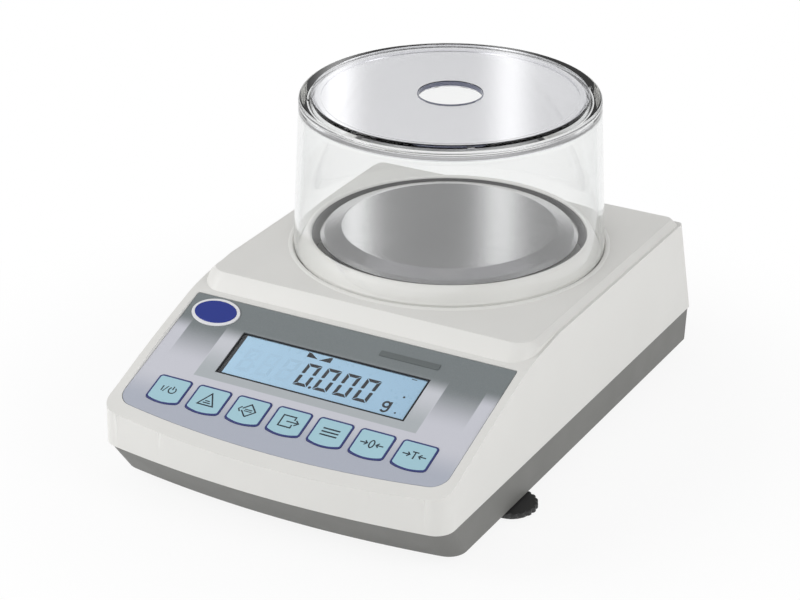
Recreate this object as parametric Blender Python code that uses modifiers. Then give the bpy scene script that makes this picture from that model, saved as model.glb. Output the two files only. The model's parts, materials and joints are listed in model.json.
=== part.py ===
"""Precision balance with a round glass draft shield. Metres, +Z up, front towards -Y, resting on z = 0."""
import math

import bmesh
import bpy
from mathutils import Matrix

for old in list(bpy.data.objects):
    bpy.data.objects.remove(old, do_unlink=True)

# Clearances
SEAT_GAP = 0.0003
LABEL_GAP = 0.0001
WELD = 0.000004
PAST = 0.005
HALF = 0.5
SMOOTH_ANGLE = math.radians(32)

# Weighing axis and the foot of the shield, which the sizes round them follow from
PAN_AXIS_Y = 0.04984
SHIELD_BOTTOM_RADIUS = 0.0910
SHIELD_WALL = 0.0030
GROOVE_CLEARANCE = 0.0004
GROOVE_OUTER = SHIELD_BOTTOM_RADIUS + GROOVE_CLEARANCE
GROOVE_INNER_CLEARANCE = 0.0006
GROOVE_INNER = SHIELD_BOTTOM_RADIUS - SHIELD_WALL - GROOVE_INNER_CLEARANCE
LIP_RING_WIDTH = 0.0026
LIP_RING_OUTER = GROOVE_OUTER + LIP_RING_WIDTH

# Raised weighing platform
PLATFORM_Z = 0.092
PLATFORM_SIDE_BORDER = 0.0075
PLATFORM_HALF_WIDTH = LIP_RING_OUTER + PLATFORM_SIDE_BORDER
PLATFORM_FRONT_BORDER = 0.00684
PLATFORM_FRONT = PAN_AXIS_Y - LIP_RING_OUTER - PLATFORM_FRONT_BORDER
PLATFORM_REAR_CUT = 0.00034
PLATFORM_REAR = PAN_AXIS_Y + LIP_RING_OUTER - PLATFORM_REAR_CUT
PLATFORM_CORNER = 0.010
PLATFORM_REAR_CORNER = 0.004
STEP_WIDTH = 0.0035
STEP_Z = 0.0886
SKIRT_Z = 0.0815
SKIRT_SIDE_FLARE = 0.0039
SKIRT_HALF_WIDTH = PLATFORM_HALF_WIDTH + SKIRT_SIDE_FLARE
SKIRT_FRONT_FLARE = 0.0092
SKIRT_FRONT = PLATFORM_FRONT - SKIRT_FRONT_FLARE
SKIRT_REAR_FLARE = 0.0031
SKIRT_REAR = PLATFORM_REAR + SKIRT_REAR_FLARE
PLATFORM_EDGE = 0.0008

# Housing plan and heights
SEAM_Z = 0.0275
MARGIN_Z = 0.0885
MARGIN_SIDE_BORDER = 0.0014
MARGIN_HALF_WIDTH = SKIRT_HALF_WIDTH + MARGIN_SIDE_BORDER
MARGIN_REAR_BORDER = 0.0035
MARGIN_REAR = PLATFORM_REAR + MARGIN_REAR_BORDER
SIDE_DRAFT = 0.00095
SEAM_HALF_WIDTH = MARGIN_HALF_WIDTH + SIDE_DRAFT
REAR_BULGE = 0.0165
BODY_HALF_DEPTH = MARGIN_REAR + REAR_BULGE
FRONT_Y = -BODY_HALF_DEPTH
FRONT_BOW = 0.0095
BODY_CORNER = 0.011
REAR_CORNER = 0.0035
WALL = 0.0025
CEILING_Z = 0.0858
CEILING_INSET = 0.0021
CEILING_REAR = MARGIN_REAR - CEILING_INSET
LIP_BEVEL = 0.006
EDGE_BEVEL_SHARE = 0.36
BEVEL_STEPS = 3
LIP_DEPTH = 0.0285
LIP_REAR = FRONT_Y + LIP_DEPTH
LIP_HIGHEST = 0.0585
BOW_STEPS = 14
CORNER_STEPS = 5

# Crowned slope in front of the weighing platform, as (distance from the front wall, z)
SLOPE = tuple((FRONT_Y + past, z) for past, z in (
    (0.1435, 0.0885),
    (0.1275, 0.0869),
    (0.1155, 0.0853),
    (0.1035, 0.0830),
    (0.0885, 0.0783),
    (0.0695, 0.0719),
    (0.0555, 0.0668),
    (0.0425, 0.0618),
    (0.0285, 0.0562),
    (0.0155, 0.05135),
    (-0.0165, 0.0398),
))
SLOPE_CLEAR_Z = 0.120
SLOPE_CLEARANCE = 0.0365
SLOPE_CLEAR_Y = FRONT_Y - SLOPE_CLEARANCE

# Plane of the control panel, through a line at this distance behind the front wall
PANEL_SETBACK = 0.1635
PANEL_Y = FRONT_Y + PANEL_SETBACK
PANEL_BASE_Z = 0.10441
PANEL_ANGLE = math.radians(19.7837)
PANEL_RISE = math.tan(PANEL_ANGLE)
PANEL_WALL = 0.0056

# Round well, pan ring and groove, all about the weighing axis
RING_CLEARANCE = 0.0002
RING_OUTER = GROOVE_INNER + RING_CLEARANCE
RING_WIDTH = 0.0078
RING_INNER = RING_OUTER - RING_WIDTH
WELL_RADIUS = RING_INNER - SEAT_GAP
WELL_FLOOR_Z = 0.083
POST_HOLE_RADIUS = 0.015
GROOVE_FLOOR_Z = 0.0910
LIP_RING_HEIGHT = 0.0007
TURN_STEPS = 64
RING_BASE_Z = 0.0922
RING_HILL = ((0.0006, 0.1017), (0.0016, 0.1019), (0.0030, 0.1010), (0.0046, 0.0989), (0.0060, 0.0958), (0.0070, 0.0933))
RING_INNER_TOP_Z = 0.1012

# Draft shield and lid
SHIELD_TAPER = 0.0110
SHIELD_RIM_RADIUS = SHIELD_BOTTOM_RADIUS - SHIELD_TAPER
SHIELD_BOTTOM_Z = 0.0913
SHIELD_TOP_Z = 0.1834
SHIELD_RIM_WIDTH = 0.0067
SHIELD_TOP_RADIUS = SHIELD_RIM_RADIUS + SHIELD_RIM_WIDTH
SHOULDER_RADIUS = 0.0018
SHOULDER_STEPS = 4
LEDGE_WIDTH = 0.0028
LEDGE_RADIUS = SHIELD_RIM_RADIUS - LEDGE_WIDTH
LEDGE_DROP = 0.0029
LEDGE_Z = SHIELD_TOP_Z - LEDGE_DROP
LEDGE_THICKNESS = 0.0020
SHIELD_NECK_STEPS = ((0.0012, 0.0069), (0.0026, 0.0094))
SHIELD_NECK = tuple((SHIELD_RIM_RADIUS + out, SHIELD_TOP_Z - drop) for out, drop in SHIELD_NECK_STEPS)
LUG_ANGLES = (35, 126, 215, 306)
LUG_OFFSET = 0.0012
LUG_RADIUS = SHIELD_RIM_RADIUS + LUG_OFFSET
LUG_LENGTH = 0.0044
LUG_WIDTH = 0.0013
LUG_HEIGHT = 0.0008
LID_THICKNESS = 0.0038
LID_TOP_Z = LEDGE_Z + SEAT_GAP + LID_THICKNESS
LID_RADIUS = SHIELD_RIM_RADIUS - SEAT_GAP
LID_CHAMFER = 0.0007
LID_HOLE_RADIUS = 0.0184
LID_PLUG_OUTER = LEDGE_RADIUS - SEAT_GAP
LID_PLUG_WALL = 0.0029
LID_PLUG_INNER = LID_PLUG_OUTER - LID_PLUG_WALL
LID_PLUG_DROP = 0.0017

# Weighing pan and what carries it
PAN_CLEARANCE = 0.0048
PAN_RADIUS = RING_INNER - PAN_CLEARANCE
PAN_BEVEL_WIDTH = 0.0095
PAN_FLAT_RADIUS = PAN_RADIUS - PAN_BEVEL_WIDTH
PAN_TOP_Z = 0.1035
PAN_EDGE_Z = 0.1001
PAN_SHEET = 0.0012
PAN_EDGE_DEPTH = 0.0008
SUPPORT_RADIUS = 0.045
SUPPORT_LOW = 0.0957
SUPPORT_HIGH = 0.0987
SUPPORT_HUB_RADIUS = 0.012
PAD_RADIUS = 0.005
PAD_LOW = 0.0990
PAD_HIGH = 0.1020
PAD_CIRCLE = 0.036
PAD_COUNT = 3
POST_RADIUS = 0.006
POST_FOOT_RADIUS = 0.010
POST_FOOT_HEIGHT = 0.005
POST_LOW = 0.0421
POST_HIGH = 0.0954

# Control panel, in the plane of the panel: x, v up the slope from y = 0, n outward
FOIL_CENTRE = 0.0001
FOIL_SIDE_BORDER = 0.0054
FOIL_HALF_WIDTH = MARGIN_HALF_WIDTH - FOIL_SIDE_BORDER
FOIL_TOP = -0.0665
FOIL_BOTTOM = -0.1640
FOIL_BOW = 0.0083
FOIL_CORNER = 0.010
FOIL_TOP_CORNER = 0.001
FOIL_THICKNESS = 0.0010
KEY_COUNT = 7
KEY_PITCH = 0.02558
KEY_HALF_WIDTH = 0.0108
KEY_TOP = -0.1305
KEY_BOTTOM = -0.1505
KEY_BOW = 0.0020
KEY_CORNER = 0.0025
KEY_RAISE = 0.0003
KEY_THICKNESS = 0.0012
KEY_BOW_STEPS = 4
KEY_CORNER_STEPS = 3
KEY_GAP = 0.00015
CIRCUIT_HALF_WIDTH = 0.0895
CIRCUIT_TOP_V = -0.1280
CIRCUIT_BOTTOM_V = -0.1530
CIRCUIT_HIGH = -0.0017
CIRCUIT_THICKNESS = 0.0010

# Display
SCREEN_CENTRE_X = 0.0001
SCREEN_CENTRE_V = -0.10325
SCREEN_HALF_WIDTH = 0.0594
SCREEN_HALF_HEIGHT = 0.01625
FRAME_WALL = 0.0007
FRAME_HIGH = -0.0002
FRAME_LOW = -0.0078
WINDOW_HIGH = -0.0004
WINDOW_THICKNESS = 0.0008
LCD_HIGH = -0.0016
LCD_LOW = -0.0042
BACKLIGHT_LOW = -0.0075
BOARD_MARGIN = 0.003
BOARD_THICKNESS = 0.0016

# Badge and capacity strip, both bare
BADGE_X = -0.0828
BADGE_V = -0.0783
BADGE_HALF_WIDTH = 0.0151
BADGE_HALF_HEIGHT = 0.0104
BADGE_THICKNESS = 0.0007
BADGE_STEPS = 36
STRIP_LEFT = 0.023
STRIP_RIGHT = 0.060
STRIP_TOP_V = -0.0755
STRIP_BOTTOM_V = -0.0795
STRIP_THICKNESS = 0.0003

# Base tray
TRAY_BOTTOM_Z = 0.005
TRAY_TOP_Z = 0.0270
TRAY_SIDE_INSET = 0.00075
TRAY_TOP_HALF_WIDTH = SEAM_HALF_WIDTH - TRAY_SIDE_INSET
TRAY_SIDE_DRAFT = 0.0008
TRAY_BOTTOM_HALF_WIDTH = TRAY_TOP_HALF_WIDTH - TRAY_SIDE_DRAFT
TRAY_FRONT_INSET = 0.001
TRAY_TOP_FRONT = FRONT_Y + TRAY_FRONT_INSET
TRAY_RAKE = 0.0165
TRAY_BOTTOM_FRONT = TRAY_TOP_FRONT + TRAY_RAKE
TRAY_REAR_INSET = 0.0007
TRAY_TOP_REAR = BODY_HALF_DEPTH - TRAY_REAR_INSET
TRAY_REAR_DRAFT = 0.0008
TRAY_BOTTOM_REAR = TRAY_TOP_REAR - TRAY_REAR_DRAFT
TRAY_FLOOR = 0.0025

# Housing screws
SCREW_SIDE_INSET = 0.01175
SCREW_X = SEAM_HALF_WIDTH - SCREW_SIDE_INSET
SCREW_FRONT_SETBACK = 0.0435
SCREW_FRONT_Y = FRONT_Y + SCREW_FRONT_SETBACK
SCREW_REAR_INSET = 0.0385
SCREW_REAR_Y = BODY_HALF_DEPTH - SCREW_REAR_INSET
SCREW_HEAD_RADIUS = 0.0030
SCREW_HEAD_LOW = 0.0057
SCREW_HEAD_HEIGHT = 0.0025
SCREW_SHANK_RADIUS = 0.0013
SCREW_TIP_Z = 0.0300
BOSS_RADIUS = 0.0048
BOSS_TOP_Z = 0.0210
POST_WALL_RADIUS = 0.0040
PILLAR_DEPTH = 0.0110
PILLAR_FRONT_TOP_Z = 0.0575
PILLAR_REAR_TOP_Z = 0.0870
SMALL_STEPS = 16

# Feet
FOOT_SIDE_INSET = 0.00595
FOOT_X = SEAM_HALF_WIDTH - FOOT_SIDE_INSET
FOOT_Y = -0.0673
KNOB_RADIUS = 0.0149
KNOB_GRIP_DEPTH = 0.0008
KNOB_GRIPS = 20
KNOB_LOW = 0.0015
KNOB_HIGH = 0.0047
FOOT_PAD_RADIUS = 0.0125
FOOT_PAD_HEIGHT = 0.0012
FOOT_PAD_EDGE = 0.0004
STEM_RADIUS = 0.0027
STEM_TOP_Z = 0.0190
INSERT_RADIUS = 0.0035
INSERT_BORE = 0.0030
INSERT_LOW = 0.0080
INSERT_HIGH = 0.0198
FOOT_BOSS_INNER_REACH = 0.0088
FOOT_BOSS_INNER_X = FOOT_X - FOOT_BOSS_INNER_REACH
FOOT_BOSS_OUTER_REACH = 0.0032
FOOT_BOSS_OUTER_X = FOOT_X + FOOT_BOSS_OUTER_REACH
FOOT_BOSS_HALF_DEPTH = 0.008
FOOT_BOSS_TOP_Z = 0.0195
REAR_FOOT_X = 0.080
REAR_FOOT_INSET = 0.0355
REAR_FOOT_Y = BODY_HALF_DEPTH - REAR_FOOT_INSET
REAR_FOOT_RADIUS = 0.010
REAR_FOOT_EDGE = 0.0008

# Inner plate, load cell and board
MAIN_HALF_WIDTH = 0.065
MAIN_SETBACK = 0.0315
MAIN_FRONT = FRONT_Y + MAIN_SETBACK
MAIN_REAR_SETBACK = 0.1035
MAIN_REAR = FRONT_Y + MAIN_REAR_SETBACK
MAIN_LOW = 0.0078
MAIN_HIGH = 0.0094
PLATE_HALF_WIDTH = 0.080
PLATE_CLEARANCE = 0.005
PLATE_FRONT = MAIN_REAR + PLATE_CLEARANCE
PLATE_REAR_INSET = 0.0435
PLATE_REAR = BODY_HALF_DEPTH - PLATE_REAR_INSET
PLATE_LOW = 0.0078
PLATE_HIGH = 0.0108
CELL_HALF_WIDTH = 0.015
CELL_SETBACK = 0.010
CELL_FRONT = PLATE_FRONT + CELL_SETBACK
CELL_OVERHANG = 0.01516
CELL_REAR = PAN_AXIS_Y + CELL_OVERHANG
CELL_LOW = 0.0194
CELL_HIGH = 0.0414
SPACER_DEPTH = 0.025
SPACER_REAR = CELL_FRONT + SPACER_DEPTH
SPACER_LOW = 0.0111
SPACER_HIGH = 0.0191
CELL_EYE_RADIUS = 0.0085
CELL_EYES_Y = (0.000, 0.026)
CELL_SLOT_HALF = 0.004
GAUGE_HALF_WIDTH = 0.0040
GAUGE_HALF_LENGTH = 0.0050
GAUGE_THICKNESS = 0.0003
CELL_SCREW_SETBACKS = (0.007, 0.018)
CELL_SCREWS_Y = tuple(CELL_FRONT + setback for setback in CELL_SCREW_SETBACKS)
CELL_SCREW_HEAD = 0.0042
CELL_SCREW_HEAD_HIGH = 0.0457
CELL_SCREW_SHANK = 0.0024
CELL_SCREW_BORE = 0.0028
CELL_SCREW_TIP = 0.0118
STOP_INSET = 0.007
STOP_Y = CELL_REAR - STOP_INSET
STOP_RADIUS = 0.004
STOP_HIGH = 0.0187
PARTS_LOW = 0.0097
CHIP_X = 0.020
CHIP_SETBACK = 0.0635
CHIP_Y = FRONT_Y + CHIP_SETBACK
CHIP_HALF = 0.007
CHIP_HIGH = 0.0112
CAN_X = -0.037
CAN_SETBACK = 0.0585
CAN_Y = FRONT_Y + CAN_SETBACK
CAN_HALF_WIDTH = 0.0175
CAN_HALF_DEPTH = 0.015
CAN_HIGH = 0.0157
BUZZER_X = 0.048
BUZZER_SETBACK = 0.0585
BUZZER_Y = FRONT_Y + BUZZER_SETBACK
BUZZER_RADIUS = 0.006
BUZZER_HIGH = 0.0177
BUZZER_HOLE_RADIUS = 0.0015
BUZZER_HOLE_DEPTH = 0.003
RIBBON_X = -0.006
RIBBON_HALF_WIDTH = 0.009
RIBBON_SETBACK = 0.0699
RIBBON_Y = FRONT_Y + RIBBON_SETBACK
RIBBON_LOW = 0.0097
RIBBON_HIGH = 0.0599
RIBBON_THICKNESS = 0.0005
RIBBON_SWAY = 0.007
RIBBON_STEPS = 14

# Rear bay with the sockets and the level
BAY_LEFT = -0.052
BAY_RIGHT = 0.046
BAY_LOW = 0.034
BAY_HIGH = 0.066
BAY_DEPTH = 0.0385
BAY_INNER_Y = BODY_HALF_DEPTH - BAY_DEPTH
BAY_WALL = 0.002
BAY_RECESS = 0.0005
SOCKET_Z = 0.050
JACK_X = 0.032
JACK_RADIUS = 0.0055
JACK_LENGTH = 0.012
JACK_BORE = 0.0032
JACK_DEPTH = 0.009
PORT_X = 0.002
PORT_FLANGE_HALF_WIDTH = 0.0154
PORT_FLANGE_HALF_HEIGHT = 0.0062
PORT_FLANGE_THICKNESS = 0.0010
PORT_SHELL_HALF_WIDTH = 0.0085
PORT_SHELL_HALF_HEIGHT = 0.0042
PORT_SHELL_LENGTH = 0.0060
PORT_SHELL_WALL = 0.0006
LEVEL_X = -0.037
LEVEL_SETBACK = 0.024
LEVEL_Y = BAY_INNER_Y + LEVEL_SETBACK
LEVEL_RADIUS = 0.008
LEVEL_HEIGHT = 0.006
VIAL_RADIUS = 0.0055
VIAL_HEIGHT = 0.0034
VIAL_FLOOR = 0.0028
PLATE_LABEL_HALF_WIDTH = 0.030
PLATE_LABEL_FRONT = 0.030
PLATE_LABEL_REAR = 0.070
PLATE_LABEL_THICKNESS = 0.0004

PART = bpy.data.collections.new("precision_balance")
BENCH = bpy.data.collections.new("bench")
bpy.context.scene.collection.children.link(PART)
bpy.context.scene.collection.children.link(BENCH)

HERE = Matrix.Identity(4)
PANEL = Matrix.Translation((0, PANEL_Y, PANEL_BASE_Z)) @ Matrix.Rotation(PANEL_ANGLE, 4, "X")
# Drawn as (y, z), extruded along x
SIDEWAYS = Matrix(((0, 0, 1, 0), (1, 0, 0, 0), (0, 1, 0, 0), (0, 0, 0, 1)))
# Turned about z, laid with the top towards +Y
REARWARD = Matrix.Rotation(-math.pi * HALF, 4, "X")

FINISHES = {
    "shell_white": ((0.74, 0.74, 0.70), 0.0, 0.45),
    "tray_grey": ((0.21, 0.22, 0.20), 0.0, 0.55),
    "foil_grey": ((0.45, 0.47, 0.50), 0.0, 0.40),
    "key_blue": ((0.42, 0.64, 0.72), 0.0, 0.40),
    "badge_blue": ((0.02, 0.05, 0.36), 0.0, 0.30),
    "strip_grey": ((0.10, 0.11, 0.12), 0.0, 0.50),
    "lcd_blue": ((0.36, 0.58, 0.74), 0.0, 0.25),
    "clear_plastic": ((0.90, 0.92, 0.94), 0.0, 0.05),
    "steel": ((0.70, 0.70, 0.70), 1.0, 0.25),
    "aluminium": ((0.75, 0.76, 0.77), 1.0, 0.35),
    "brass": ((0.70, 0.52, 0.22), 1.0, 0.35),
    "rubber_black": ((0.02, 0.02, 0.02), 0.0, 0.80),
    "plastic_black": ((0.03, 0.03, 0.03), 0.0, 0.45),
    "board_green": ((0.03, 0.22, 0.10), 0.0, 0.50),
    "foil_amber": ((0.60, 0.35, 0.08), 0.0, 0.45),
    "label_silver": ((0.62, 0.62, 0.62), 0.0, 0.50),
    "vial_green": ((0.60, 0.80, 0.30), 0.0, 0.10),
    "diffuser_white": ((0.85, 0.86, 0.86), 0.0, 0.50),
}


def material(slot):
    """The material of a slot, made the first time that it is asked for."""
    found = bpy.data.materials.get(slot)
    if found:
        return found
    colour, metallic, roughness = FINISHES[slot]
    made = bpy.data.materials.new(slot)
    made.use_nodes = True
    shader = made.node_tree.nodes["Principled BSDF"]
    shader.inputs["Base Color"].default_value = (*colour, 1)
    shader.inputs["Metallic"].default_value = metallic
    shader.inputs["Roughness"].default_value = roughness
    return made


def settled(holder):
    """The evaluated mesh of a helper object, in world space and welded; the helper goes."""
    bpy.context.view_layer.update()
    graph = bpy.context.evaluated_depsgraph_get()
    mesh = bpy.data.meshes.new_from_object(holder.evaluated_get(graph))
    mesh.transform(holder.matrix_world)
    bpy.data.objects.remove(holder)
    body = bmesh.new()
    body.from_mesh(mesh)
    bmesh.ops.remove_doubles(body, verts=body.verts, dist=WELD)
    bmesh.ops.dissolve_degenerate(body, edges=body.edges, dist=WELD)
    bmesh.ops.recalc_face_normals(body, faces=body.faces)
    body.to_mesh(mesh)
    body.free()
    return mesh


def on_bench(data):
    """A helper object for one shape."""
    holder = bpy.data.objects.new("helper", data)
    holder.hide_render = True
    holder.display_type = "WIRE"
    BENCH.objects.link(holder)
    return holder


def prism(outlines, low, high, frame=HERE):
    """A solid between two heights over outlines drawn in (x, y); the outlines after the first are holes."""
    curve = bpy.data.curves.new("outline", "CURVE")
    curve.dimensions = "2D"
    curve.fill_mode = "BOTH"
    curve.render_resolution_u = 0
    curve.extrude = (high - low) * HALF
    for outline in outlines:
        spline = curve.splines.new("POLY")
        spline.points.add(len(outline) - 1)
        for point, (x, y) in zip(spline.points, outline):
            point.co = (x, y, 0, 1)
        spline.use_cyclic_u = True
    mesh = settled(on_bench(curve))
    mesh.transform(frame @ Matrix.Translation((0, 0, (low + high) * HALF)))
    return mesh


def box(low, high, frame=HERE):
    """A block between two corners."""
    body = bmesh.new()
    bmesh.ops.create_cube(body, size=1)
    mesh = bpy.data.meshes.new("block")
    body.to_mesh(mesh)
    body.free()
    size = [b - a for a, b in zip(low, high)]
    middle = [(a + b) * HALF for a, b in zip(low, high)]
    mesh.transform(frame @ Matrix.Translation(middle) @ Matrix.Diagonal((*size, 1)))
    return mesh


def turned(profile, centre=(0, 0), steps=TURN_STEPS, ring=False, frame=HERE):
    """A turned body from a profile of (radius, z), down the outer side; a ring has a closed profile."""
    mesh = bpy.data.meshes.new("profile")
    count = len(profile)
    edges = [(i, i + 1) for i in range(count - 1)]
    if ring:
        edges.append((count - 1, 0))
    mesh.from_pydata([(r, 0, z) for r, z in profile], edges, [])
    holder = on_bench(mesh)
    screw = holder.modifiers.new("turn", "SCREW")
    screw.axis = "Z"
    screw.steps = steps
    screw.render_steps = steps
    screw.use_merge_vertices = True
    screw.merge_threshold = WELD
    solid = settled(holder)
    solid.transform(frame @ Matrix.Translation((*centre, 0)))
    return solid


def disc(radius, low, high, centre=(0, 0), steps=SMALL_STEPS, frame=HERE):
    """A plain round bar."""
    return turned([(0, high), (radius, high), (radius, low), (0, low)], centre, steps, frame=frame)


def combined(mesh, other, operation):
    """Two meshes brought together by a Boolean."""
    first = on_bench(mesh)
    second = on_bench(other)
    boolean = first.modifiers.new("combine", "BOOLEAN")
    boolean.operation = operation
    boolean.solver = "EXACT"
    boolean.object = second
    result = settled(first)
    bpy.data.objects.remove(second)
    return result


def cut(mesh, *others):
    """The mesh less the others."""
    for other in others:
        mesh = combined(mesh, other, "DIFFERENCE")
    return mesh


def joined(mesh, *others):
    """The mesh with the others."""
    for other in others:
        mesh = combined(mesh, other, "UNION")
    return mesh


def mirrored(half):
    """A whole outline from its right half, which starts on the middle line at the front."""
    left = [(-x, y) for x, y in reversed(half) if x > WELD]
    return half + left


def arc(centre, radius, start, end, steps):
    """Points along an arc, both ends included."""
    turns = [start + (end - start) * i / steps for i in range(steps + 1)]
    return [(centre[0] + radius * math.cos(a), centre[1] + radius * math.sin(a)) for a in turns]


def bowed(half_width, front, rear, bow, front_corner, rear_corner, steps=BOW_STEPS, corner_steps=CORNER_STEPS):
    """An outline with a bowed front side and four rounded corners."""
    radius = (half_width**2 + bow**2) / (2 * bow)
    middle = front + radius
    corner_x = half_width - front_corner
    corner_y = middle - math.sqrt((radius - front_corner) ** 2 - corner_x**2)
    turn = math.atan2(corner_y - middle, corner_x)
    half = arc((0, middle), radius, -math.pi * HALF, turn, steps // 2)
    half += arc((corner_x, corner_y), front_corner, turn, 0, corner_steps)[1:]
    half += arc((half_width - rear_corner, rear - rear_corner), rear_corner, 0, math.pi * HALF, corner_steps)
    half[0] = (0, front)
    return mirrored(half)


def rounded(half_width, front, rear, front_corner, rear_corner, corner_steps=CORNER_STEPS):
    """A rectangular outline with rounded corners."""
    half = arc((half_width - front_corner, front + front_corner), front_corner, -math.pi * HALF, 0, corner_steps)
    half += arc((half_width - rear_corner, rear - rear_corner), rear_corner, 0, math.pi * HALF, corner_steps)
    return mirrored(half)


def shifted(outline, x, y=0):
    """An outline moved sideways."""
    return [(px + x, py + y) for px, py in outline]


def rectangle(left, right, front, rear):
    """A plain rectangular outline."""
    return [(left, front), (right, front), (right, rear), (left, rear)]


def loft(sections):
    """A body through level sections, each an (outline, z) with the same number of points."""
    body = bmesh.new()
    rings = [[body.verts.new((x, y, z)) for x, y in outline] for outline, z in sections]
    for below, above in zip(rings, rings[1:]):
        for i in range(len(below)):
            j = (i + 1) % len(below)
            body.faces.new((below[i], below[j], above[j], above[i]))
    body.faces.new(list(reversed(rings[0])))
    body.faces.new(rings[-1])
    bmesh.ops.recalc_face_normals(body, faces=body.faces)
    mesh = bpy.data.meshes.new("loft")
    body.to_mesh(mesh)
    body.free()
    return mesh


def bevelled(mesh, width, share_of, steps=BEVEL_STEPS):
    """Edges rounded by a share of the width that depends on the place of each edge."""
    body = bmesh.new()
    body.from_mesh(mesh)
    weights = body.edges.layers.float.new("bevel_weight_edge")
    for edge in body.edges:
        if len(edge.link_faces) == 2 and edge.is_convex and edge.calc_face_angle() > SMOOTH_ANGLE:
            middle = (edge.verts[0].co + edge.verts[1].co) * HALF
            edge[weights] = share_of(middle)
    body.to_mesh(mesh)
    body.free()
    holder = on_bench(mesh)
    bevel = holder.modifiers.new("round", "BEVEL")
    bevel.limit_method = "WEIGHT"
    bevel.width = width
    bevel.segments = steps
    return settled(holder)


def place(name, mesh, slot, origin=(0, 0, 0)):
    """A named piece of the part, its origin at the given point."""
    mesh.transform(Matrix.Translation([-c for c in origin]))
    mesh.name = name
    mesh.materials.clear()
    mesh.materials.append(material(slot))
    body = bmesh.new()
    body.from_mesh(mesh)
    for edge in body.edges:
        edge.smooth = len(edge.link_faces) == 2 and edge.calc_face_angle() < SMOOTH_ANGLE
    for face in body.faces:
        face.smooth = True
    body.to_mesh(mesh)
    body.free()
    piece = bpy.data.objects.new(name, mesh)
    piece.location = origin
    PART.objects.link(piece)
    return piece


def rear_wall(z):
    """How far back the outer face of the rear wall is at a height."""
    share = (z - SEAM_Z) / (MARGIN_Z - SEAM_Z)
    return BODY_HALF_DEPTH + (MARGIN_REAR - BODY_HALF_DEPTH) * share


def panel_line(y, depth):
    """The height of the panel plane, or of one under it by a depth, at a distance y."""
    return PANEL_BASE_Z + PANEL_RISE * (y - PANEL_Y) - depth / math.cos(PANEL_ANGLE)


def edge_share(middle):
    """How much of the widest bevel an outer edge of the housing has."""
    if middle.z < SEAM_Z + PAST * HALF:
        return 0
    if middle.y < LIP_REAR and middle.z < LIP_HIGHEST:
        return 1
    if middle.z > PLATFORM_Z - LABEL_GAP:
        return PLATFORM_EDGE / LIP_BEVEL
    on_side = abs(middle.x) > MARGIN_HALF_WIDTH - LABEL_GAP * 3
    on_rear = middle.y > MARGIN_REAR - LABEL_GAP * 3
    return EDGE_BEVEL_SHARE if on_side or on_rear else 0


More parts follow.
